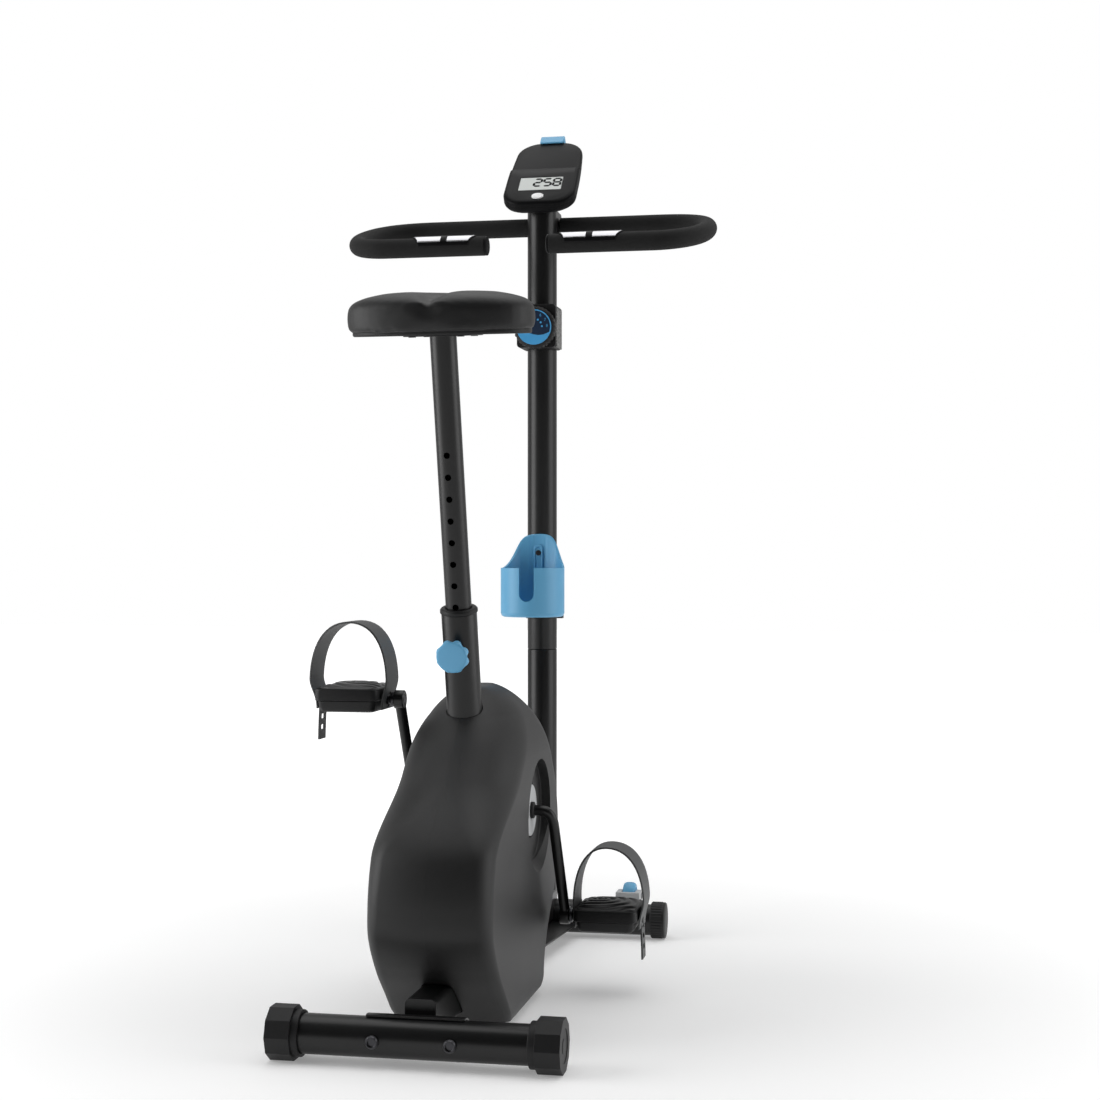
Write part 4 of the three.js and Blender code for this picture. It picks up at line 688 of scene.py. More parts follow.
def post():
    """Lower stub with its weld, and the upper post cut off behind the console."""
    r = POST_RADIUS
    at = shifted(BIKE, 0, POST_Y)
    foot = BEAM["high"] + GAP
    stub = lathe(rounded([(r - 2, foot), (r, foot), (r, POST_SEAM), (r - 2, POST_SEAM)], 0.8, 3), "z", 96)
    piece("post_stub", stub, "black_paint", replaced=["post_stub"], at=at)
    beads = [((r + 0.6) * math.cos(t / 46 * 2 * math.pi), (r + 0.6) * math.sin(t / 46 * 2 * math.pi), 78.5)
             for t in range(46)]
    beads = [point for point in beads if abs(point[0]) < BEAM["half"]]
    piece("post_weld", weld(beads, 1.6), "black_paint", at=at)
    base = POST_SEAM + 0.6
    upper = lathe(rounded([(r - 2, base), (r, base), (r, 1290), (HUB, 1290)], 0.8, 3), "z", 96)
    body = mesh_object("upper_post", upper, at)
    reach = 300
    above = prism([(-reach, -reach), (reach, -reach), (reach, reach), (-reach, reach)], -11.3, reach, "z")
    carve(body, tool(above, CONSOLE))
    dress(body, "black_paint", "frame", ["handlebar_post"])


# ------------------------------------------------------------------ seat tube, post and knob
def seat_tube():
    """Sleeve, the boss for the knob and the bush at the sleeve's mouth."""
    r = SEAT_TUBE_RADIUS
    sleeve = rounded([(r - 2, -20), (r, -20), (r, SEAT_TOP), (r - 2, SEAT_TOP)], 0.6, 3)
    piece("seat_tube", lathe(closed(sleeve), "z", 96), "black_paint", replaced=["seat_tube"], at=SEAT)
    reach = -r - KNOB_BOSS
    boss = lathe(rounded([(11, -r + 3), (11, reach), (5, reach)], 1.0), "y", 48)
    piece("knob_boss", moved(boss, 0, 0, PIN_HEIGHT), "black_paint", at=SEAT)
    top = SEAT_TOP + GAP
    flange = rounded([(17.9, top), (25.5, top), (25.5, top + 4.5), (23.2, top + 7), (18.4, top + 7),
                      (17.9, top + 6)], 1.2)
    piece("seat_bush", lathe(closed(flange), "z", 96), "black_plastic", replaced=["seat_bush"], at=SEAT)


def seat_post():
    """Tube with a row of holes for the pin, cut off under the saddle."""
    r = 17.5
    bottom = 362
    top = SEAT_POST_TOP + 40
    outline = closed([(r - 1.8, bottom), (r, bottom), (r, top), (r - 1.8, top)])
    body = mesh_object("seat_post", lathe(outline, "z", 96), SEAT)
    hole = prism(circle(4.3, 32), -r - 3, 0, "y")
    holes = joined(*[moved(hole, 0, 0, PIN_HEIGHT + HOLE_PITCH * i) for i in range(-2, 10)])
    above = prism([(-200, 0), (200, 0), (200, 400), (-200, 400)], -9.7, 60, "z")
    carve(body, tool(holes, SEAT), tool(above, SADDLE_AT))
    soften(body, 0.35, 2, 50)
    dress(body, "black_paint", "seat", ["seat_post"])


def broad_groove(share):
    return share ** 1.4


def seat_knob():
    """Eight-lobed grip, its neck and face, and the pin."""
    start = -SEAT_TUBE_RADIUS - KNOB_BOSS - GAP
    rings = ((4, 19, 1.5), (4.6, 21.4, 2.6), (6, 22.6, 3.4), (9.5, 22.8, 3.4), (11.5, 22.4, 2.4),
             (12.8, 21.6, 0.9), (13.8, 21, 0), (14.6, 20.2, 0), (15, 19, 0))
    grip = fluted([(start - back, radius, depth) for back, radius, depth in rings], 8, 128, broad_groove, "y")
    neck = lathe(rounded([(5, start), (10.6, start), (10.6, start - 5), (5, start - 5)], 0.8), "y", 48)
    face = lathe([(HUB, start - 15.6), (9, start - 15.5), (15, start - 15.2), (18.9, start - 14.9)], "y", 96)
    at = shifted(SEAT, z=PIN_HEIGHT)
    piece("seat_knob", joined(grip, neck, face), "blue_plastic", "seat_knob", ["seat_knob"], at=at, smooth=45)
    pin = lathe([(HUB, start - 2), (3.9, start - 2), (3.9, -17.9), (HUB, -17.9)], "y", 24)
    piece("seat_pin", pin, "bright_steel", "seat_knob", at=at)


# ------------------------------------------------------------------ saddle
SADDLE = dict(rear=55, length=265, widest=0.27, half=124.5, nose=36, bottom=911, height=48, tilt=7, skirt=2)
SADDLE_AT = tilted(shifted(BIKE, 0, SADDLE["rear"], SADDLE["bottom"]), SADDLE["tilt"])


def saddle_half(t):
    widest = SADDLE["widest"]
    if t < widest:
        to_rear = 1 - t / widest
        return SADDLE["half"] * math.sqrt(1 - 0.93 * to_rear ** 2.6)
    to_nose = (t - widest) / (1 - widest)
    taper = 0.5 + 0.5 * math.cos(math.pi * min(1, to_nose * 1.12))
    tip = max(0, (to_nose - 0.82) / 0.18)
    return (SADDLE["nose"] + (SADDLE["half"] - SADDLE["nose"]) * taper) * math.sqrt(1 - 0.92 * tip * tip)


def saddle_ring(t, grow):
    """A ring across the pad: crowned top, full sides tucked in at the bottom edge."""
    half = saddle_half(t) + grow
    y = t * SADDLE["length"]
    height = SADDLE["height"] + grow
    end = 1 - 0.35 * abs(2 * t - 1) ** 8
    groove_depth = 0.2 * max(0, 1 - t * t * 1.3)
    skirt = SADDLE["skirt"] - grow
    ring = [(-half * 0.95, y, -skirt), (-half * 0.99, y, 3 - skirt)]
    across = 40
    for i in range(across + 1):
        u = -1 + 2 * i / across
        crown = math.sqrt(max(0, 1 - abs(u) ** 2.9))
        groove = groove_depth * math.exp(-((u / 0.09) ** 2))
        z = height * (0.24 + (0.76 * crown * (0.85 + 0.15 * (1 - u * u)) - groove) * end)
        ring.append((half * math.sin(u * math.pi / 2), y, z))
    ring += [(half * 0.99, y, 3 - skirt), (half * 0.95, y, -skirt)]
    return ring


def pad_shares():
    ends = [0, 0.004, 0.012, 0.025, 0.045, 0.07]
    middle = [0.1 + 0.8 * i / 24 for i in range(25)]
    return ends + middle + [0.925, 0.95, 0.97, 0.985, 0.994, 1]


def swell(obj, seat_plane, pinned_below, cap):
    """Fills the cover by a short pressure simulation; no point moves further than the cap."""
    remesh = obj.modifiers.new("cells", "REMESH")
    remesh.mode = "VOXEL"
    remesh.voxel_size = 0.0045
    apply_modifiers(obj)
    start = [v.co.copy() for v in obj.data.vertices]
    held = obj.vertex_groups.new(name="held")
    from_seat = (Matrix.Scale(MM, 4) @ seat_plane).inverted()
    held.add([i for i, co in enumerate(start) if (from_seat @ co).z < pinned_below], 1.0, "REPLACE")
    cloth = obj.modifiers.new("cloth", "CLOTH")
    settings = cloth.settings
    settings.use_pressure = True
    settings.uniform_pressure_force = 2
    settings.effector_weights.gravity = 0
    settings.vertex_group_mass = "held"
    settings.tension_stiffness = 15
    settings.bending_stiffness = 3
    scene = bpy.context.scene
    for step in range(1, 21):
        scene.frame_set(step)
    apply_modifiers(obj)
    scene.frame_set(1)
    for vertex, rest in zip(obj.data.vertices, start):
        shift = vertex.co - rest
        if shift.length > cap:
            vertex.co = rest + shift.normalized() * cap
    smooth = obj.modifiers.new("calm", "SMOOTH")
    smooth.factor = 0.5
    smooth.iterations = 4
    subdivide = obj.modifiers.new("fine", "SUBSURF")
    subdivide.levels = 1
    subdivide.render_levels = 1
    apply_modifiers(obj)


def saddle():
    """Filled cover over a thin pan."""
    pad = mesh_object("saddle_pad", from_loops([saddle_ring(t, -1.5) for t in pad_shares()]), SADDLE_AT)
    swell(pad, SADDLE_AT, 3, 0.002)
    dress(pad, "saddle_cover", "seat", ["saddle_pad"], 60)
    inset = 7
    length = SADDLE["length"] - 2 * inset
    outline = [(saddle_half(i / 32) - inset, inset + i / 32 * length) for i in range(33)]
    outline += [(-x, y) for x, y in reversed(outline)]
    piece("saddle_pan", prism(outline, -8.3, -0.6, "z"), "black_plastic", "seat", ["saddle_base"],
          at=SADDLE_AT, edge=(2.5,))
    saddle_bracket()


def saddle_bracket():
    """Thin plate let into the pan; the post's end is held under it."""
    middle = SEAT_Y - SEAT_POST_TOP * math.sin(math.radians(SEAT_LEAN)) - SADDLE["rear"]
    outline = box_outline(44, middle - 50, middle + 50, 14)
    piece("saddle_plate", prism(outline, -9.6, -8.2, "z"), "black_paint", "seat", ["saddle_bracket"],
          at=SADDLE_AT, edge=(0.5, 2))
    nut = lathe(rounded([(HUB, -10.6), (5, -10.6), (5, -9.6), (HUB, -9.6)], 0.4), "z", 6)
    for x in (-32, 32):
        for y in (-38, 38):
            piece(f"saddle_nut_{x}_{y}", moved(nut, x, middle + y), "dark_steel", "seat", at=SADDLE_AT)


# ------------------------------------------------------------------ casing
CASING_REAR = ((12.5, 178), (50, 137), (90, 92), (140, 54), (180, 49), (220, 55), (250, 67), (280, 90),
               (313, 124), (350, 165), (385, 202), (410, 233), (444, 290))
CASING_FRONT = ((12.5, 412), (50, 418), (90, 442), (140, 492), (180, 512), (220, 519), (266, 528), (300, 530),
                (335, 516), (373, 480), (404, 443), (444, 385))
CASING = dict(low=12.5, high=444, half=82, arch=345, reach=100, tuck=4, wall=3, dish=73, floor=68, bevel=14,
              crown=14, crown_height=90)
CORNER = dict(low=10, growth=14, roll=240, roll_height=90, depth=105,
              front=26, front_growth=54, front_from=220, front_height=130)


def eased(value):
    """Eases from 0 to 1 while the value goes from 0 to 1."""
    t = min(1, max(0, value))
    return t * t * (3 - 2 * t)


def blend(start, end, share):
    return start + (end - start) * share


def smooth_value(table, height):
    """Cubic through the table's (height, value) pairs."""
    last = len(table) - 1
    i = next((k for k, (z, _) in enumerate(table) if z >= height), last)
    i = max(i, 1)

    def slope(k):
        before = table[max(k - 1, 0)]
        after = table[min(k + 1, last)]
        return (after[1] - before[1]) / (after[0] - before[0])

    z0, v0 = table[i - 1]
    z1, v1 = table[i]
    span = z1 - z0
    t = min(1, max(0, (height - z0) / span))
    m0 = slope(i - 1) * span
    m1 = slope(i) * span
    return ((2 * t ** 3 - 3 * t * t + 1) * v0 + (t ** 3 - 2 * t * t + t) * m0
            + (3 * t * t - 2 * t ** 3) * v1 + (t ** 3 - t * t) * m1)


def casing_ring(z, inset):
    """Outline at one height: soft corners low down, rolled over into one round form higher up."""
    c = CASING
    k = CORNER
    rear = smooth_value(CASING_REAR, z) + inset
    front = smooth_value(CASING_FRONT, z) - inset
    depth = front - rear
    rise = max(0, (z - c["arch"]) / c["reach"])
    tuck = max(0, 1 - (z - c["low"]) / 18)
    half = c["half"] * math.sqrt(1 - rise * rise) - c["tuck"] * tuck * tuck - inset
    roll = eased((z - k["roll"]) / k["roll_height"])
    low = k["low"] + k["growth"] * min(1, (z - c["low"]) / (k["roll"] - c["low"]))
    across = min(half * 0.98, blend(low, half * 0.98, roll))
    along = blend(low, min(k["depth"], depth / 2), roll)
    widen = eased((z - k["front_from"]) / k["front_height"])
    front_radius = min(half * 0.98, depth * 0.48, k["front"] + k["front_growth"] * widen)
    ring = []
    for side, start in ((1, 0), (-1, 90)):
        ring += arc(side * (half - front_radius), front - front_radius, front_radius, start, start + 90, 14)
    for side, start in ((-1, 180), (1, 270)):
        ring += [(side * (half - across) + across * x, rear + along + along * y)
                 for x, y in arc(0, 0, 1, start, start + 90, 14)]
        if side < 0:
            ring += [((half - across) * (i / 10 - 1), rear) for i in range(1, 20)]
    crown = c["crown"] * (1 - roll) * min(1, (z - c["low"]) / c["crown_height"])
    return [(x, y - crown * (1 - (x / half) ** 2) * (y < rear + along), z) for x, y in ring]


def casing_form(inset, slices=120):
    low = CASING["low"] + inset
    high = CASING["high"] - inset
    loops = []
    for i in range(slices + 1):
        t = i / slices
        share = 0.55 * t + 0.45 * (0.5 - 0.5 * math.cos(math.pi * t))
        loops.append(casing_ring(low + share * (high - low), inset))
    return from_loops(loops)


def dish(grow):
    """Round recess about the crank with its steep wall."""
    floor = CASING["floor"] - grow
    rim = CASING["half"] + 6
    r = CASING["dish"] + grow
    return lathe(rounded([(HUB, floor), (r - 2, floor), (r, rim), (HUB, rim)], 2.5 - grow * 0.5, 3), "x", 96)


def dish_bevel(grow):
    """Cone set off towards the rear and below, so that its bevel narrows to nothing towards the front."""
    floor = CASING["floor"] + 0.4 - grow
    rim = CASING["half"] + 6
    r = CASING["dish"] + grow
    opening = CASING["bevel"] * (rim - floor) / (CASING["half"] - floor)
    offset = 10
    cone = lathe([(HUB, floor), (r - offset - 2, floor), (r - offset + opening, rim), (HUB, rim)], "x", 128)
    return moved(cone, 0, -0.5 * offset, -0.87 * offset)


def casing():
    """Two halves that meet at the middle with no step between them."""
    centre = shifted(BIKE, 0, CRANK_Y, CRANK_Z)
    wall = CASING["wall"]
    beam_hole = box_outline(BEAM["half"] + 1, BEAM["low"] - 1, BEAM["high"] + 1, BEAM["corner"])
    for name, side in SIDES:
        flip = side < 0
        shell = mesh_object(f"casing_{name}", casing_form(0))
        other = prism([(-200, -200), (900, -200), (900, 900), (-200, 900)], -side * 200, side * 0.02, "x")
        carve(shell, tool(dish(0), centre, flip), tool(dish_bevel(0), centre, flip), tool(other))
        inner = tool(casing_form(wall, 60))
        carve(inner, tool(dish(wall), centre, flip), tool(dish_bevel(wall), centre, flip))
        hub = tool(prism(circle(38.5, 96), 0, 100 * side, "x"), centre)
        sleeve = tool(prism(circle(SEAT_TUBE_RADIUS + 1, 96), 0, 600, "z"), SEAT)
        carve(shell, inner, hub, sleeve, tool(prism(beam_hole, 0, FRONT_FOOT["y"], "y")))
        soften_off_centre(shell, 0.6)
        shell.modifiers.new("even_shading", "WEIGHTED_NORMAL").keep_sharp = True
        dress(shell, "casing_plastic", "frame", [f"casing_{name}"], 32)
        casing_screws(name, side)


def casing_screws(name, side):
    """Recessed screws along the lower edge."""
    ring = rounded([(2.2, 0), (5.4, 0), (5.4, 0.9), (4.2, 0.9), (3.6, -0.6), (2.2, -0.6)], 0.3)
    head = [(HUB, -0.5), (3.4, -0.5), (3.4, 0.2), (HUB, 0.2)]
    for index, (y, z) in enumerate(((349, 33), (221, 35))):
        place = dict(at=shifted(BIKE, side * (CASING["half"] - 3), y, z), mirrored=side < 0)
        piece(f"casing_screw_{name}_{index}", lathe(ring, "x", 32), "black_plastic", **place)
        piece(f"casing_screw_head_{name}_{index}", lathe(head, "x", 32), "dark_steel", **place)


# ------------------------------------------------------------------ crank and drive
def crank():
    """One bent bar through the shell, with an eye at each end, and a disc and collar on each side."""
    at = tilted(shifted(BIKE, 0, CRANK_Y, CRANK_Z), CRANK_LEAN)
    elbow = bezier((78, 0, 0), (95, 0, 0), (99, 0, -8), (100, 0, -28), 14)
    right = [(40, 0, 0)] + elbow + [(103, 0, -95), (CRANK_ARM, 0, -(CRANK_LENGTH - 8))]
    left = [tuple(-k for k in p) for p in reversed(right)]
    parts = [sweep(left + right, circle(7.5, 40), (0, 1, 0))]
    eye = lathe(closed(rounded([(6.8, -7), (13, -7), (13, 7), (6.8, 7)], 1.6)), "x", 56)
    cone = lathe([(7, -6), (22, -6), (22, 6), (7, 6)], "x", 48)
    for _, side in SIDES:
        parts.append(moved(eye, side * CRANK_ARM, 0, -side * CRANK_LENGTH))
        parts.append(moved(cone, side * 26))
    piece("crank", joined(*parts), "black_paint", "crank", ["crank"], at=at, smooth=45)
    disc = rounded([(8, 65.5), (35.6, 65.5), (36.5, 66), (36.5, 68.6), (35.4, 69.5), (13.5, 69.5),
                    (12, 68.4), (8, 68.4)], 0.6)
    collar = rounded([(7.6, 68.4), (11.6, 68.4), (11.6, 73), (9, 74.5), (7.6, 74.5)], 0.8)
    for name, side in SIDES:
        piece(f"crank_disc_{name}", lathe(closed(disc), "x", 96), "pale_grey_plastic", "crank",
              [f"crank_disc_{name}"], at=at, mirrored=side < 0)
        piece(f"crank_collar_{name}", lathe(collar, "x", 48), "black_plastic", "crank", at=at,
              mirrored=side < 0)


def pedals():
    lean = math.radians(CRANK_LEAN)
    for name, side in SIDES:
        y = CRANK_Y + side * CRANK_LENGTH * math.sin(lean)
        z = CRANK_Z - side * CRANK_LENGTH * math.cos(lean)
        at = shifted(BIKE, side * PEDAL_X, y, z)
        place = dict(body=f"pedal_{name}", at=at, mirrored=side < 0)
        pedal_body(name, side, place)
        pedal_axle(name, place)
        pedal_strap(name, place)


def pedal_block(rings):
    """A block of (z, inset across, inset along) rings inside the pedal's outline."""
    half_x, half_y = PEDAL_HALF
    outline = box_outline(half_x, -half_y, half_y, 9, 5)
    return from_loops([[(x * (half_x - in_x) / half_x, y * (half_y - in_y) / half_y, z) for x, y in outline]
                       for z, in_x, in_y in rings])


def pedal_body(name, side, place):
    """Wide upper half with a domed tread over a narrower chamfered lower half."""
    half_x, half_y = PEDAL_HALF
    upper = pedal_block(((0.4, 1.0, 1.0), (1.2, 0, 0), (13.5, 0, 0), (16, 0.8, 0.8), (17, 2.4, 2.4)))
    lower = pedal_block(((-0.4, 3.5, 3.5), (-9, 4.5, 5), (-14, 6.5, 8), (-16, 9.5, 13)))
    bore = prism(circle(6.9, 32), -half_x - 1, 27, "x")
    pocket = prism(box_outline(5.5, -26, 26, 4, 4), -17, -9.5, "z")
    pockets = joined(*[moved(pocket, i * 14.5) for i in range(-2, 3)])
    piece(f"pedal_upper_{name}", upper, "black_plastic", replaced=[f"pedal_{name}"], cuts=[bore],
          edge=(0.5, 2, 40), **place)
    piece(f"pedal_lower_{name}", lower, "black_plastic", cuts=[bore, pockets], edge=(0.6, 2, 30), **place)
    # painted light: the left pedal's tread gets the lighter copy of the same rubber as the right
    rubber = "pedal_rubber_painted_lighter" if side < 0 else "pedal_rubber"
    piece(f"pedal_tread_{name}", tread_surface(half_x - 3, half_y - 3), rubber, smooth=60, **place)


def tread_height(x, y, half_x, half_y):
    """Low dome with swirling ribs."""
    u = x / half_x
    v = y / half_y
    dome = 16.6 + 5.6 * (1 - abs(u) ** 3) * (1 - abs(v) ** 3)
    angle = math.atan2(y - 10, x + 8)
    reach = math.hypot(x + 8, y - 10)
    wave = math.sin(reach * 0.42 + 2.4 * angle)
    rib = 1 / (1 + math.exp(-wave * 5))
    edge = max(0.0, 1 - max(abs(u), abs(v)) ** 10)
    return dome + 2.6 * rib * edge


def tread_surface(half_x, half_y):
    """A grid drawn in to the pedal's round corners and raised by tread_height()."""
    count = 72
    vertices = []
    faces = []
    for j in range(count + 1):
        for i in range(count + 1):
            u = -1 + 2 * i / count
            v = -1 + 2 * j / count
            squircle = (abs(u) ** 8 + abs(v) ** 8) ** (1 / 8) or 1
            scale = max(abs(u), abs(v)) / squircle
            x = u * half_x * scale
            y = v * half_y * scale
            vertices.append(Vector((x, y, tread_height(x, y, half_x, half_y))))
    for j in range(count):
        for i in range(count):
            a = j * (count + 1) + i
            faces.append((a, a + 1, a + count + 2, a + count + 1))
    return vertices, faces


def pedal_axle(name, place):
    inner = CRANK_ARM - 7 - PEDAL_X
    outer = CRANK_ARM + 7.3 - PEDAL_X
    shaft = rounded([(HUB, inner - 0.2), (5.6, inner - 0.2), (6.5, inner + 1), (6.5, outer), (10, outer),
                     (10, outer + 4), (7, outer + 4.4), (6.5, outer + 6), (6.5, 24), (HUB, 24)], 0.5)
    piece(f"pedal_axle_{name}", lathe(shaft, "x", 48), "dark_steel", replaced=[f"pedal_axle_{name}"],
          **{**place, "body": "crank"})
    seal = lathe(rounded([(7, -44.5), (11, -44.5), (11, -46), (9, -47), (7, -47)], 0.5), "x", 48)
    piece(f"pedal_seal_{name}", seal, "black_plastic", **place)


STRAP_ARCH = {
    "left": dict(top=107, outer=55.5, inner=52.5),
    "right": dict(top=101.5, outer=52, inner=46),
}


def strap_half(bulge, top, foot, low):
    """Half of the strap's edge line, from the pedal's side up to the middle of the arch."""
    rise = bezier((foot, low), (foot, 8), (bulge, 16), (bulge, 30), 14)
    crown = bezier((bulge, 30), (bulge * 0.97, top - 34), (bulge * 0.66, top), (0, top), 14)
    return rise + crown[1:]


def strap_line(arch, grow):
    """The arch from the outer side of the pedal over the foot to its inner side."""
    foot = 45.3 + grow
    top = arch["top"] + grow
    outer = strap_half(arch["outer"] + grow, top, foot, -12)
    inner = strap_half(arch["inner"] + grow, top, foot, -13)
    return outer + [(-x, z) for x, z in reversed(inner[:-1])]


def pedal_strap(name, place):
    """The arch over the foot, its edges a little narrower outside, and its loose end."""
    inside = strap_line(STRAP_ARCH[name], 0)
    outside = strap_line(STRAP_ARCH[name], STRAP)
    half = 30
    loops = [[(xi, -half, zi), (xo, -half + 0.8, zo), (xo, half - 0.8, zo), (xi, half, zi)]
             for (xi, zi), (xo, zo) in zip(inside, outside)]
    axle_gap = prism(circle(11, 48), -60, -44, "x")
    piece(f"strap_{name}", from_loops(loops), "strap_rubber", replaced=[f"pedal_strap_{name}"],
          cuts=[axle_gap], edge=(0.5, 2, 50), smooth=35, **place)
    strap_tail(name, place)


def strap_tail(name, place):
    """Loose end past the outer side, with its row of adjusting holes, curling out a little."""
    half = 14
    low = -57
    line = bezier((45.5, -2), (46.4, -16), (47.4, -32), (47.8, low), 16)
    loops = [[(x, -half, z), (x + STRAP, -half, z), (x + STRAP, half, z), (x, half, z)] for x, z in line]
    centres = [low + 17 + 15 * i for i in range(3)]
    holes = [prism(box_outline(7, z - 3.5, z + 3.5, 1.5, 4), 30, 60, "x") for z in centres]
    piece(f"strap_tail_{name}", from_loops(loops), "strap_rubber", cuts=[joined(*holes)], edge=(0.5, 2, 50),
          smooth=35, **place)
    stud = lathe(rounded([(HUB, 0), (3, 0), (3, 3.4), (4.6, 3.4), (4.6, 5), (HUB, 5)], 0.6), "x", 32)
    piece(f"strap_stud_{name}", moved(stud, 44.5, 0, -2.5), "strap_rubber", **place)


# ------------------------------------------------------------------ handlebar
def bar_path(start_x, end_x):
    """The right half of the bar, from the middle of its near run round to the far run."""
    far = BAR_DEPTH
    near_end, far_end, wide = 210, 190, 279.5
    first = [(start_x + (near_end - start_x) * i / 6, 0) for i in range(6)]
    out = bezier((near_end, 0), (238, 0), (wide, 30), (wide, 120), 26)
    back = bezier((wide, 120), (wide, 176), (266, far), (far_end, far), 26)
    last = [(far_end + (end_x - far_end) * i / 6, far) for i in range(1, 7)]
    return [(x, y, 0) for x, y in first + out + back[1:] + last]


def handlebar():
    """Closed bar with foam over each half, its end plugs, the pulse sensors and the clamp."""
    for name, side in SIDES:
        flip = side < 0
        if side > 0:
            vertices, faces = sweep(bar_path(50, -1), circle(11, 40), (0, 0, 1))
            piece("bar_tube", joined((vertices, faces), ([MIRROR @ v for v in vertices], faces)),
                  "black_paint", replaced=["handlebar_tube"], at=BAR)
        grip = sweep(bar_path(50.3, 24), circle(FOAM, 64), (0, 0, 1))
        piece(f"foam_{name}", grip, "foam", replaced=[f"foam_grip_{name}"], at=BAR, mirrored=flip,
              edge=(1.2, 3, 50), smooth=50)
        plug = rounded([(HUB, 45.6), (11.5, 45.8), (15, 47.4), (15, 50.1), (HUB, 50.1)], 2.0, 5)
        piece(f"grip_plug_{name}", lathe(plug, "x", 64), "smooth_plastic", replaced=[f"grip_plug_{name}"],
              at=BAR, mirrored=flip)
        pulse_sensor(name, flip)
    clamp()


def sensor_segment(start, end, radius, edge_deg, near_slant=0.0, far_slant=0.0):
    """Part of a sleeve over the grip's top, with ends that may slant in towards its lower edges."""
    loops = []
    steps = 28
    for i in range(steps + 1):
        angle = math.radians(90 - edge_deg + 2 * edge_deg * i / steps)
        lean = abs(math.cos(angle)) / math.sin(math.radians(edge_deg))
        near = start + near_slant * lean
        far = end - far_slant * lean
        y = math.cos(angle)
        z = math.sin(angle)
        loops.append([(near, y * 13.6, z * 13.6), (far, y * 13.6, z * 13.6),
                      (far, y * radius, z * radius), (near, y * radius, z * radius)])
    return from_loops(loops)


def pulse_sensor(name, flip):
    """Two metal plates, in a black housing that shows round them and between them."""
    housing = sensor_segment(64, 166, 16.4, 74, 12, 12)
    plates = joined(sensor_segment(67, 109, 17.2, 52, 8, 0), sensor_segment(119, 163, 17.2, 52, 0, 8))
    band = sensor_segment(109.3, 118.7, 17.6, 56)
    place = dict(at=BAR, mirrored=flip)
    piece(f"pulse_carrier_{name}", housing, "smooth_plastic", edge=(0.9, 3, 30), **place)
    piece(f"pulse_plate_{name}", plates, "chrome", replaced=[f"pulse_plate_{name}"], edge=(0.5, 3, 30),
          **place)
    piece(f"pulse_band_{name}", band, "smooth_plastic", edge=(0.5, 2, 30), **place)


def clamp():
    """Split block that holds the bar's far run to the post, and its two bolts."""
    half = 22
    front = BAR_FAR[0] + 19
    y, z = BAR_FAR
    outline = [(POST_Y + 6, z - 23)] + arc(front - 9, z - 14, 9, -90, 0, 8)
    outline += arc(front - 9, z + 14, 9, 0, 90, 8) + [(POST_Y + 6, z + 23)]
    post_space = moved(prism(circle(POST_RADIUS + GAP, 96), z - 60, z + 60, "z"), 0, POST_Y)
    bar_space = moved(prism(circle(11.5, 64), -half - 1, half + 1, "x"), 0, y, z)
    split = prism([(y, z - 1), (y + 60, z - 1), (y + 60, z + 1), (y, z + 1)], -30, 30, "x")
    piece("clamp", prism(outline, -half, half, "x"), "black_paint", replaced=["handlebar_clamp"],
          cuts=[post_space, bar_space, split], edge=(1.5,))
    head = turned(resized(bolt(), 0.7), 180, "Z")
    for x in (-12, 12):
        piece(f"clamp_bolt_{x}", moved(head, x, front, z + 11), "dark_steel")


# ------------------------------------------------------------------ console
CONSOLE_HALF = 60
CONSOLE_TOP_HALF = 54
CONSOLE_END = 93.5
FACE = 9
RAISED = 15
RAISED_TOP = 7.5
SCREEN = dict(half_width=35.5, half_height=18, centre=-38.5)
BUTTON = (10, 7.4)
BUTTON_CENTRE = -75.5


def console_outline(inset):
    h = CONSOLE_HALF - inset
    t = CONSOLE_TOP_HALF - inset
    e = CONSOLE_END - inset
    r = 34
    right = bezier((h - r, -e), (h - r * 0.45, -e), (h, -e + r * 0.45), (h, -e + r), 10)
    right += bezier((h, -e + r), (h, -10), (h - 0.5, 10), (t + 1.5, e - r), 8)[1:]
    right += bezier((t + 1.5, e - r), (t, e - r * 0.4), (t - r * 0.5, e), (t - r, e), 10)[1:]
    return right + [(-x, y) for x, y in reversed(right)]


def console_body():
    """Soft-edged body with the clip's slot, and the box raised on it round the screen and button."""
    rings = ((-FACE, 8), (-FACE + 1.2, 4.5), (-FACE + 4, 1.6), (-FACE + 7, 0.3), (1, 0), (FACE - 4, 0.2),
             (FACE - 2, 1), (FACE - 0.6, 2.6), (FACE, 5))
    body = from_loops([[(x, y, z) for x, y in console_outline(inset)] for z, inset in rings])
    slot = prism([(-17.4, -4.6), (17.4, -4.6), (17.4, 0.6), (-17.4, 0.6)], CONSOLE_END - 56, 120, "y")
    piece("console", body, "smooth_plastic", replaced=["console_body"], at=CONSOLE, cuts=[slot], smooth=50)
    loops = []
    for z, inset in ((FACE - 3, 0.2), (FACE + 1, 0.4), (FACE + 3, 1.2), (RAISED - 1.6, 2.8),
                     (RAISED - 0.6, 4.4), (RAISED, 7)):
        top = RAISED_TOP - inset * 0.4
        loops.append([(x, min(y, top), z) for x, y in console_outline(inset)])
    tall, centre = SCREEN["half_height"] + GAP, SCREEN["centre"]
    window = box_outline(SCREEN["half_width"] + GAP, centre - tall, centre + tall, 1.5, 3)
    oval = [((BUTTON[0] + 0.4) * x, (BUTTON[1] + 0.4) * y + BUTTON_CENTRE) for x, y in circle(1, 48)]
    wells = [prism(window, RAISED - 2.7, RAISED + 5, "z"), prism(oval, RAISED - 6, RAISED + 5, "z")]
    piece("console_box", from_loops(loops), "smooth_plastic", at=CONSOLE, cuts=wells, edge=(0.5, 2, 40),
          smooth=45)
    battery_door()


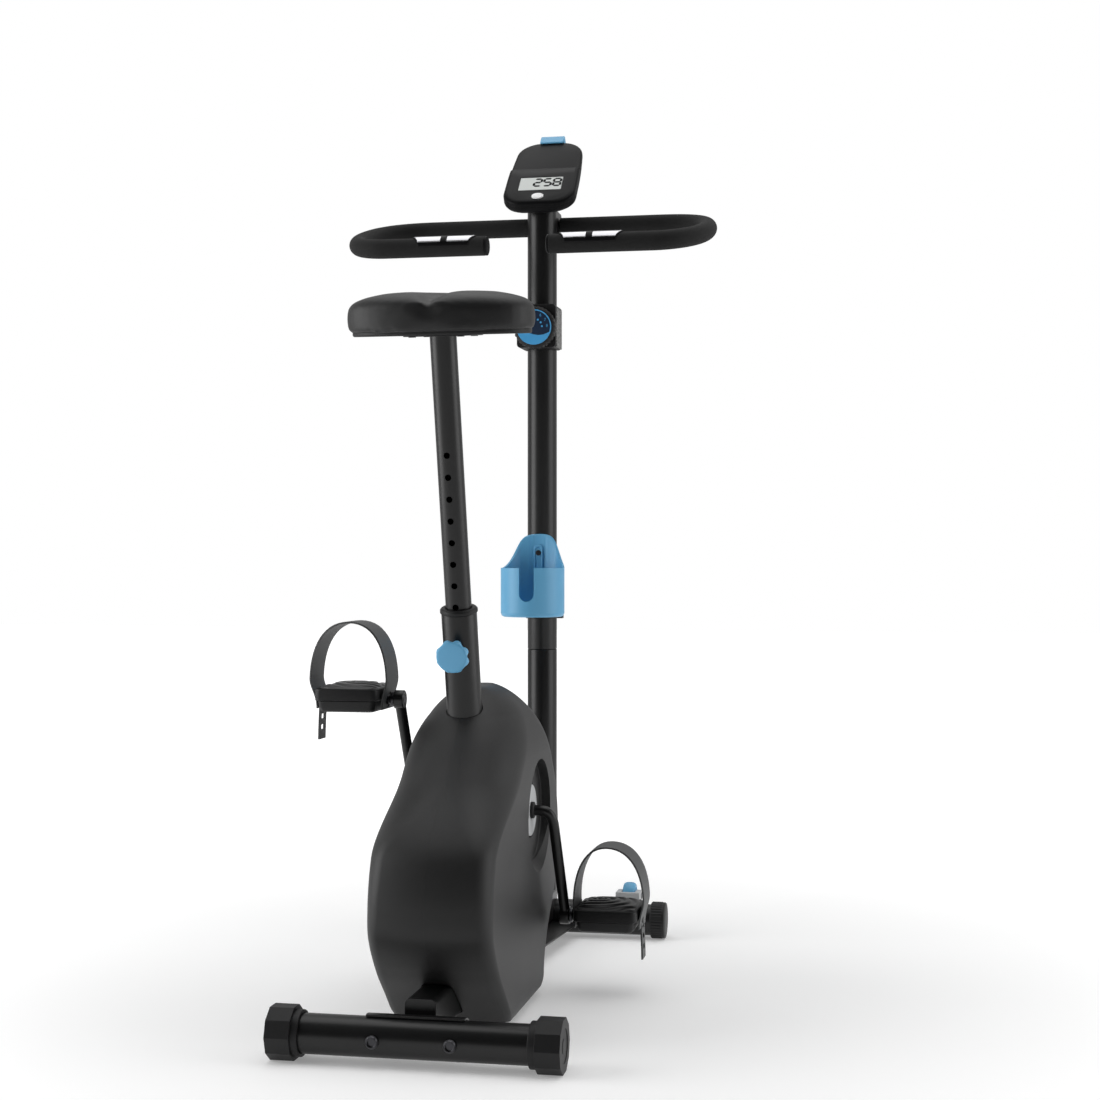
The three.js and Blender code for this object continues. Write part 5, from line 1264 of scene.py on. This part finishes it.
def battery_door():
    """Battery door on the back of the console."""
    door = prism(box_outline(26, 8, 58, 4, 4), -FACE - 1.0, -FACE + 2, "z")
    piece("battery_door", door, "black_plastic", at=CONSOLE, edge=(0.5, 2))


SEGMENTS = {
    "a": ((-1, 2), (1, 2)), "b": ((1, 2), (1, 0)), "c": ((1, 0), (1, -2)), "d": ((-1, -2), (1, -2)),
    "e": ((-1, 0), (-1, -2)), "f": ((-1, 2), (-1, 0)), "g": ((-1, 0), (1, 0)),
}
DIGITS = {"2": "abged", "5": "afgcd", "8": "abcdefg"}


def segment(start, end, thick):
    """A bar with pointed ends between two corners of a digit."""
    (ax, ay), (bx, by) = start, end
    length = math.hypot(bx - ax, by - ay)
    ux, uy = (bx - ax) / length, (by - ay) / length
    ax, ay = ax + ux * 0.5, ay + uy * 0.5
    bx, by = bx - ux * 0.5, by - uy * 0.5
    tip = thick / 2
    nx, ny = -uy * tip, ux * tip
    return [(ax, ay), (ax + ux * tip + nx, ay + uy * tip + ny), (bx - ux * tip + nx, by - uy * tip + ny),
            (bx, by), (bx - ux * tip - nx, by - uy * tip - ny), (ax + ux * tip - nx, ay + uy * tip - ny)]


def digit(character, x, y, width, height):
    parts = []
    slant = 0.03
    for key in DIGITS[character]:
        (x0, y0), (x1, y1) = SEGMENTS[key]
        start = (x + x0 * width / 2, y + y0 * height / 4)
        end = (x + x1 * width / 2, y + y1 * height / 4)
        outline = [(px + slant * (py - y), py) for px, py in segment(start, end, 4.0)]
        parts.append(prism(outline, 0, 0.2, "z"))
    return joined(*parts)


def console_screen():
    tall, centre = SCREEN["half_height"], SCREEN["centre"]
    glass = box_outline(SCREEN["half_width"], centre - tall, centre + tall, 1.2, 3)
    piece("display", prism(glass, RAISED - 2.4, RAISED - 0.5, "z"), "display_glass",
          replaced=["console_screen"], at=CONSOLE, edge=(0.3, 2))
    digits = [digit(number, -5 + index * 16, centre + 3, 11.5, 20) for index, number in enumerate("258")]
    piece("digits", moved(joined(*digits), 0, 0, RAISED - 0.5), "display_ink", at=CONSOLE)


def console_button():
    rings = ((RAISED - 4, 1.0), (RAISED + 0.8, 1.0), (RAISED + 1.5, 0.96), (RAISED + 1.9, 0.85),
             (RAISED + 2.0, 0.6))
    button = from_loops([[(BUTTON[0] * share * x, BUTTON[1] * share * y + BUTTON_CENTRE, z)
                          for x, y in circle(1, 48)] for z, share in rings])
    piece("button", button, "white_plastic", "console_button", ["console_button"], at=CONSOLE, smooth=60)


def console_tab():
    """Clip that draws up out of the top edge, with a lip that hooks over the face to hold a telephone."""
    top = CONSOLE_END + 16.5
    low = top - 72
    hook_top = FACE + 3.3
    edge = CONSOLE_END + 6.5
    strip = prism([(low, -4.2), (low, 0.2), (top - 6, 0.2), (top - 6, -4.2)], -17, 17, "x")
    inner = CONSOLE_END - 5.5
    profile = [(edge, -4.2), (edge, FACE + GAP), (inner, FACE + GAP), (inner, hook_top)]
    profile += arc(top - 6, hook_top - 6, 6, 90, 0, 8)
    profile += arc(top - 4, -0.2, 4, 0, -90, 6)
    body = mesh_object("tab", prism(profile, -20, 20, "x"), CONSOLE)
    combine(body, [tool(strip, CONSOLE)], "UNION")
    soften(body, 1.4)
    dress(body, "blue_plastic", "console_tab", ["console_tab"])


# ------------------------------------------------------------------ resistance dial
def dial():
    """Base on the post with a strip down its right side, and the turning dial."""
    back = DIAL_FACE_Y + 19.3
    front = POST_Y + 4
    bore = moved(prism(circle(POST_RADIUS + GAP, 96), 900, 1100, "z"), 0, POST_Y)
    piece("dial_base", prism(box_outline(32, 961, 1031, 6, 6), back, front, "y"), "black_plastic",
          replaced=["dial_base"], cuts=[bore], edge=(1.5,))
    strip = prism(box_outline(1.2, 962, 1026, 1, 2), back + 6, front - 4, "y")
    piece("dial_base_strip", moved(strip, 31.6), "speckled_grey", edge=(0.3,))
    at = shifted(BIKE, 0, DIAL_FACE_Y, DIAL_Z)
    rings = ((19, 33.0, 0), (18, 34.2, 1.2), (6, 34.5, 1.4), (4.4, 33.8, 1.0), (3.2, 32.6, 0),
             (2.2, 30.4, 0), (1.6, 29.4, 0))
    piece("dial", fluted(rings, 32, 32 * 6, narrow_groove, "y"), "black_plastic", "tension_dial",
          ["tension_dial"], at=at, smooth=50)
    dial_face(at)


def dial_face(at):
    """Blue crescent that widens round the dial, and its plain numbers."""
    window = [(x * 26.6, y * 26.6) for x, y in arc(0, 0, 1, -18, 198, 60)]
    window += bezier(window[-1], (-14, -1), (2, -22), window[0], 20)[1:-1]
    piece("dial_face", prism(arc(0, 0, 28.4, 0, 360, 96)[:-1], 0.9, 2.4, "y"), "dial_blue", "tension_dial",
          at=at, cuts=[prism(window, 0, 3, "y")], edge=(0.25, 2))
    disc = lathe(rounded([(HUB, 1.1), (26.4, 1.1), (27, 1.9)], 0.4), "y", 96)
    piece("dial_centre", disc, "dial_ink", "tension_dial", at=at)
    dot = lathe([(HUB, 0.6), (1.6, 0.6), (1.6, 1.2), (HUB, 1.2)], "y", 24)
    for index in range(8):
        angle = math.radians(200 - 28 * index)
        x = 21.5 * math.cos(angle)
        z = 21.5 * math.sin(angle)
        numeral(str(index + 1), x, z, at)
        piece(f"dial_dot_{index}", moved(dot, 0.62 * x, 0, 0.62 * z), "dial_blue", "tension_dial", at=at)


def numeral(text, x, z, at):
    """A plain number as a thin raised solid on the dial."""
    curve = bpy.data.curves.new(f"number_{text}", "FONT")
    curve.body = text
    curve.size = 6.4 * MM
    curve.extrude = 0.15 * MM
    curve.align_x = "CENTER"
    curve.align_y = "CENTER"
    carrier = bpy.data.objects.new(f"number_{text}", curve)
    bpy.context.scene.collection.objects.link(carrier)
    place = Matrix.Scale(MM, 4) @ at @ Matrix.Translation((x, 0.9, z))
    carrier.matrix_world = Matrix.Translation(place.translation) @ Matrix.Rotation(math.radians(90), 4, "X")
    bpy.context.view_layer.update()
    depsgraph = bpy.context.evaluated_depsgraph_get()
    mesh = bpy.data.meshes.new_from_object(carrier.evaluated_get(depsgraph))
    mesh.transform(carrier.matrix_world)
    bpy.data.objects.remove(carrier)
    obj = bpy.data.objects.new(f"number_{text}", mesh)
    bpy.context.scene.collection.objects.link(obj)
    dress(obj, "dial_blue", "tension_dial")


# ------------------------------------------------------------------ bottle holder
CUP = dict(radius=51, wall=2.6, bottom=527, rim=605, back=661, y=POST_Y - POST_RADIUS - 54 - 2 * GAP)


def bottle_holder():
    """Cup with a slotted front lowered below its back, and the screw and rail inside it."""
    r, wall, bottom, rim, back = (CUP[key] for key in ("radius", "wall", "bottom", "rim", "back"))
    at = shifted(BIKE, 0, CUP["y"])
    outer = [(HUB, bottom), (r - 5, bottom), (r - 1.6, bottom + 1.8), (r, bottom + 6), (r, back)]
    inner = [(r - wall, back), (r - wall, bottom + 7), (r - 5, bottom + wall), (HUB, bottom + wall)]
    top = [(-60, rim), (4, rim)]
    top += bezier((4, rim), (24, rim + 2), (r * 0.62, rim + 14), (r * 0.76, rim + 34), 12)[1:]
    top += bezier(top[-1], (r * 0.86, rim + 48), (r * 0.92, back - 0.5), (r + 4, back - 0.2), 8)[1:]
    top += [(60, back + 20), (-60, back + 20)]
    slot = [(12, rim + 8)] + arc(0, 564, 12, 0, -180, 20) + [(-12, rim + 8)]
    screw_hole = [(x, z + 632) for x, z in circle(2.6, 24)]
    cuts = [prism(top, -60, 60, "x"), prism(slot, -60, -25, "y"), prism(screw_hole, 30, 60, "y"),
            prism(circle(6, 32), 500, 560, "z")]
    piece("cup", lathe(rounded(outer + inner, 1.5, 3), "z", 128), "blue_plastic", replaced=["bottle_holder"],
          at=at, cuts=cuts, edge=(0.9, 3, 40), smooth=45)
    bead = lathe(rounded([(HUB, -1), (4.4, -1), (4.4, 0.6), (HUB, 0.6)], 0.5), "y", 32)
    piece("cup_screw", moved(bead, 0, 46.2, 629), "dark_steel", at=at)
    groove = prism(box_outline(4.8, 582, 638, 4.5, 8), 40, 46.6, "y")
    piece("cup_rail", prism(box_outline(7.5, 575, 643, 7, 8), 45.4, 48.6, "y"), "blue_plastic", at=at,
          cuts=[groove], edge=(0.5, 2))


def bottle_clamp():
    """Band round the post, the spine that carries the cup and the ear for its screw."""
    r = POST_RADIUS + GAP
    low = 522
    high = low + 20
    at = shifted(BIKE, 0, POST_Y)
    band = lathe(closed(rounded([(r, low), (r + 3, low), (r + 3, high), (r, high)], 0.7)), "z", 96)
    piece("bottle_band", band, "black_plastic", replaced=["bottle_clamp"], at=at)
    piece("bottle_spine", prism(box_outline(10, low, 653, 3, 4), -27.3, -20, "y"), "black_plastic", at=at,
          cuts=[prism(circle(r, 96), 500, 700, "z")], edge=(0.6, 2))
    piece("bottle_ear", prism(box_outline(5.5, -7, 7, 2, 4), low, high, "z"), "black_plastic",
          at=shifted(at, r + 5), edge=(0.6, 2))


# ------------------------------------------------------------------ inner pieces keep their CAD form
INNER = {
    "crank_shell": "black_paint", "flywheel_bracket": "black_paint", "drive_pulley": "black_plastic",
    "drive_belt": "belt_rubber", "flywheel": "cast_iron", "flywheel_axle": "bright_steel",
    "magnet_arm": "bright_steel",
}


def inner_pieces():
    for node, finish in INNER.items():
        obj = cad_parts[node]
        obj.data.materials.clear()
        obj.data.materials.append(MATERIALS[finish])


# ------------------------------------------------------------------ floor, light and camera
def add_area(name, location, target, size, power):
    """A rectangular light that faces its target."""
    light = bpy.data.lights.new(name, "AREA")
    light.shape = "RECTANGLE"
    light.size = size[0]
    light.size_y = size[1]
    light.energy = power
    obj = bpy.data.objects.new(name, light)
    obj.location = location
    obj.rotation_euler = (Vector(target) - Vector(location)).to_track_quat("-Z", "Y").to_euler()
    bpy.context.scene.collection.objects.link(obj)


def studio():
    """White floor, two side lights and a wide one overhead."""
    reach = 12
    mesh = bpy.data.meshes.new("floor")
    mesh.from_pydata([(-reach, -reach, 0), (reach, -reach, 0), (reach, reach, 0), (-reach, reach, 0)], [],
                     [(0, 1, 2, 3)])
    mesh.materials.append(MATERIALS["floor_with_painted_shade"])
    floor = bpy.data.objects.new("floor", mesh)
    bpy.context.scene.collection.objects.link(floor)
    studio_world()
    add_area("left", (-2.6, -1.0, 1.3), (0, 0, 0.7), (2.0, 2.6), 58)
    add_area("right", (2.8, 0.1, 1.2), (0, 0, 0.7), (2.0, 2.6), 30)
    add_area("top", (0.1, 0.3, 4.2), (0, 0, 0.6), (4.0, 4.0), 80)
    bpy.context.scene.view_settings.view_transform = "Standard"


def studio_world():
    """A white surround; as light it is bright behind the object and dark behind the camera."""
    world = bpy.data.worlds.new("studio")
    world.use_nodes = True
    white = (1, 1, 1, 1)
    light = world.node_tree.nodes["Background"]
    light.inputs["Color"].default_value = white
    parts = add_node(world, "SeparateXYZ")
    glow = add_node(world, "MapRange", {"From Min": -0.25, "From Max": 0.55, "To Min": 0.03, "To Max": 0.55})
    glow.interpolation_type = "SMOOTHSTEP"
    seen = add_node(world, "Background", {"Color": white, "Strength": 1.0})
    choice = add_node(world, "MixShader")
    add_link(world, add_node(world, "TexCoord"), "Generated", parts, "Vector")
    add_link(world, parts, "Y", glow, "Value")
    add_link(world, glow, "Result", light, "Strength")
    add_link(world, add_node(world, "LightPath"), "Is Camera Ray", choice, "Fac")
    add_link(world, light, "Background", choice, 1)
    add_link(world, seen, "Background", choice, 2)
    add_link(world, choice, "Shader", world.node_tree.nodes["World Output"], "Surface")
    bpy.context.scene.world = world


def camera():
    """Level view from a little to the rider's right of the bike's rear."""
    data = bpy.data.cameras.new("camera")
    data.sensor_width = 36
    data.lens = 60.98
    data.shift_y = 0.0008
    data.clip_end = 100
    obj = bpy.data.objects.new("camera", data)
    obj.location = (0.6018, -2.2133 + REAR_AXIS_Y * MM, 0.6322)
    obj.rotation_euler = (math.radians(90), 0, math.radians(11.1))
    bpy.context.scene.collection.objects.link(obj)
    bpy.context.scene.camera = obj


camera()
studio()
rear_foot()
front_foot()
beam()
post()
seat_tube()
seat_post()
seat_knob()
saddle()
casing()
crank()
pedals()
handlebar()
console_body()
console_screen()
console_button()
console_tab()
dial()
bottle_holder()
bottle_clamp()
inner_pieces()
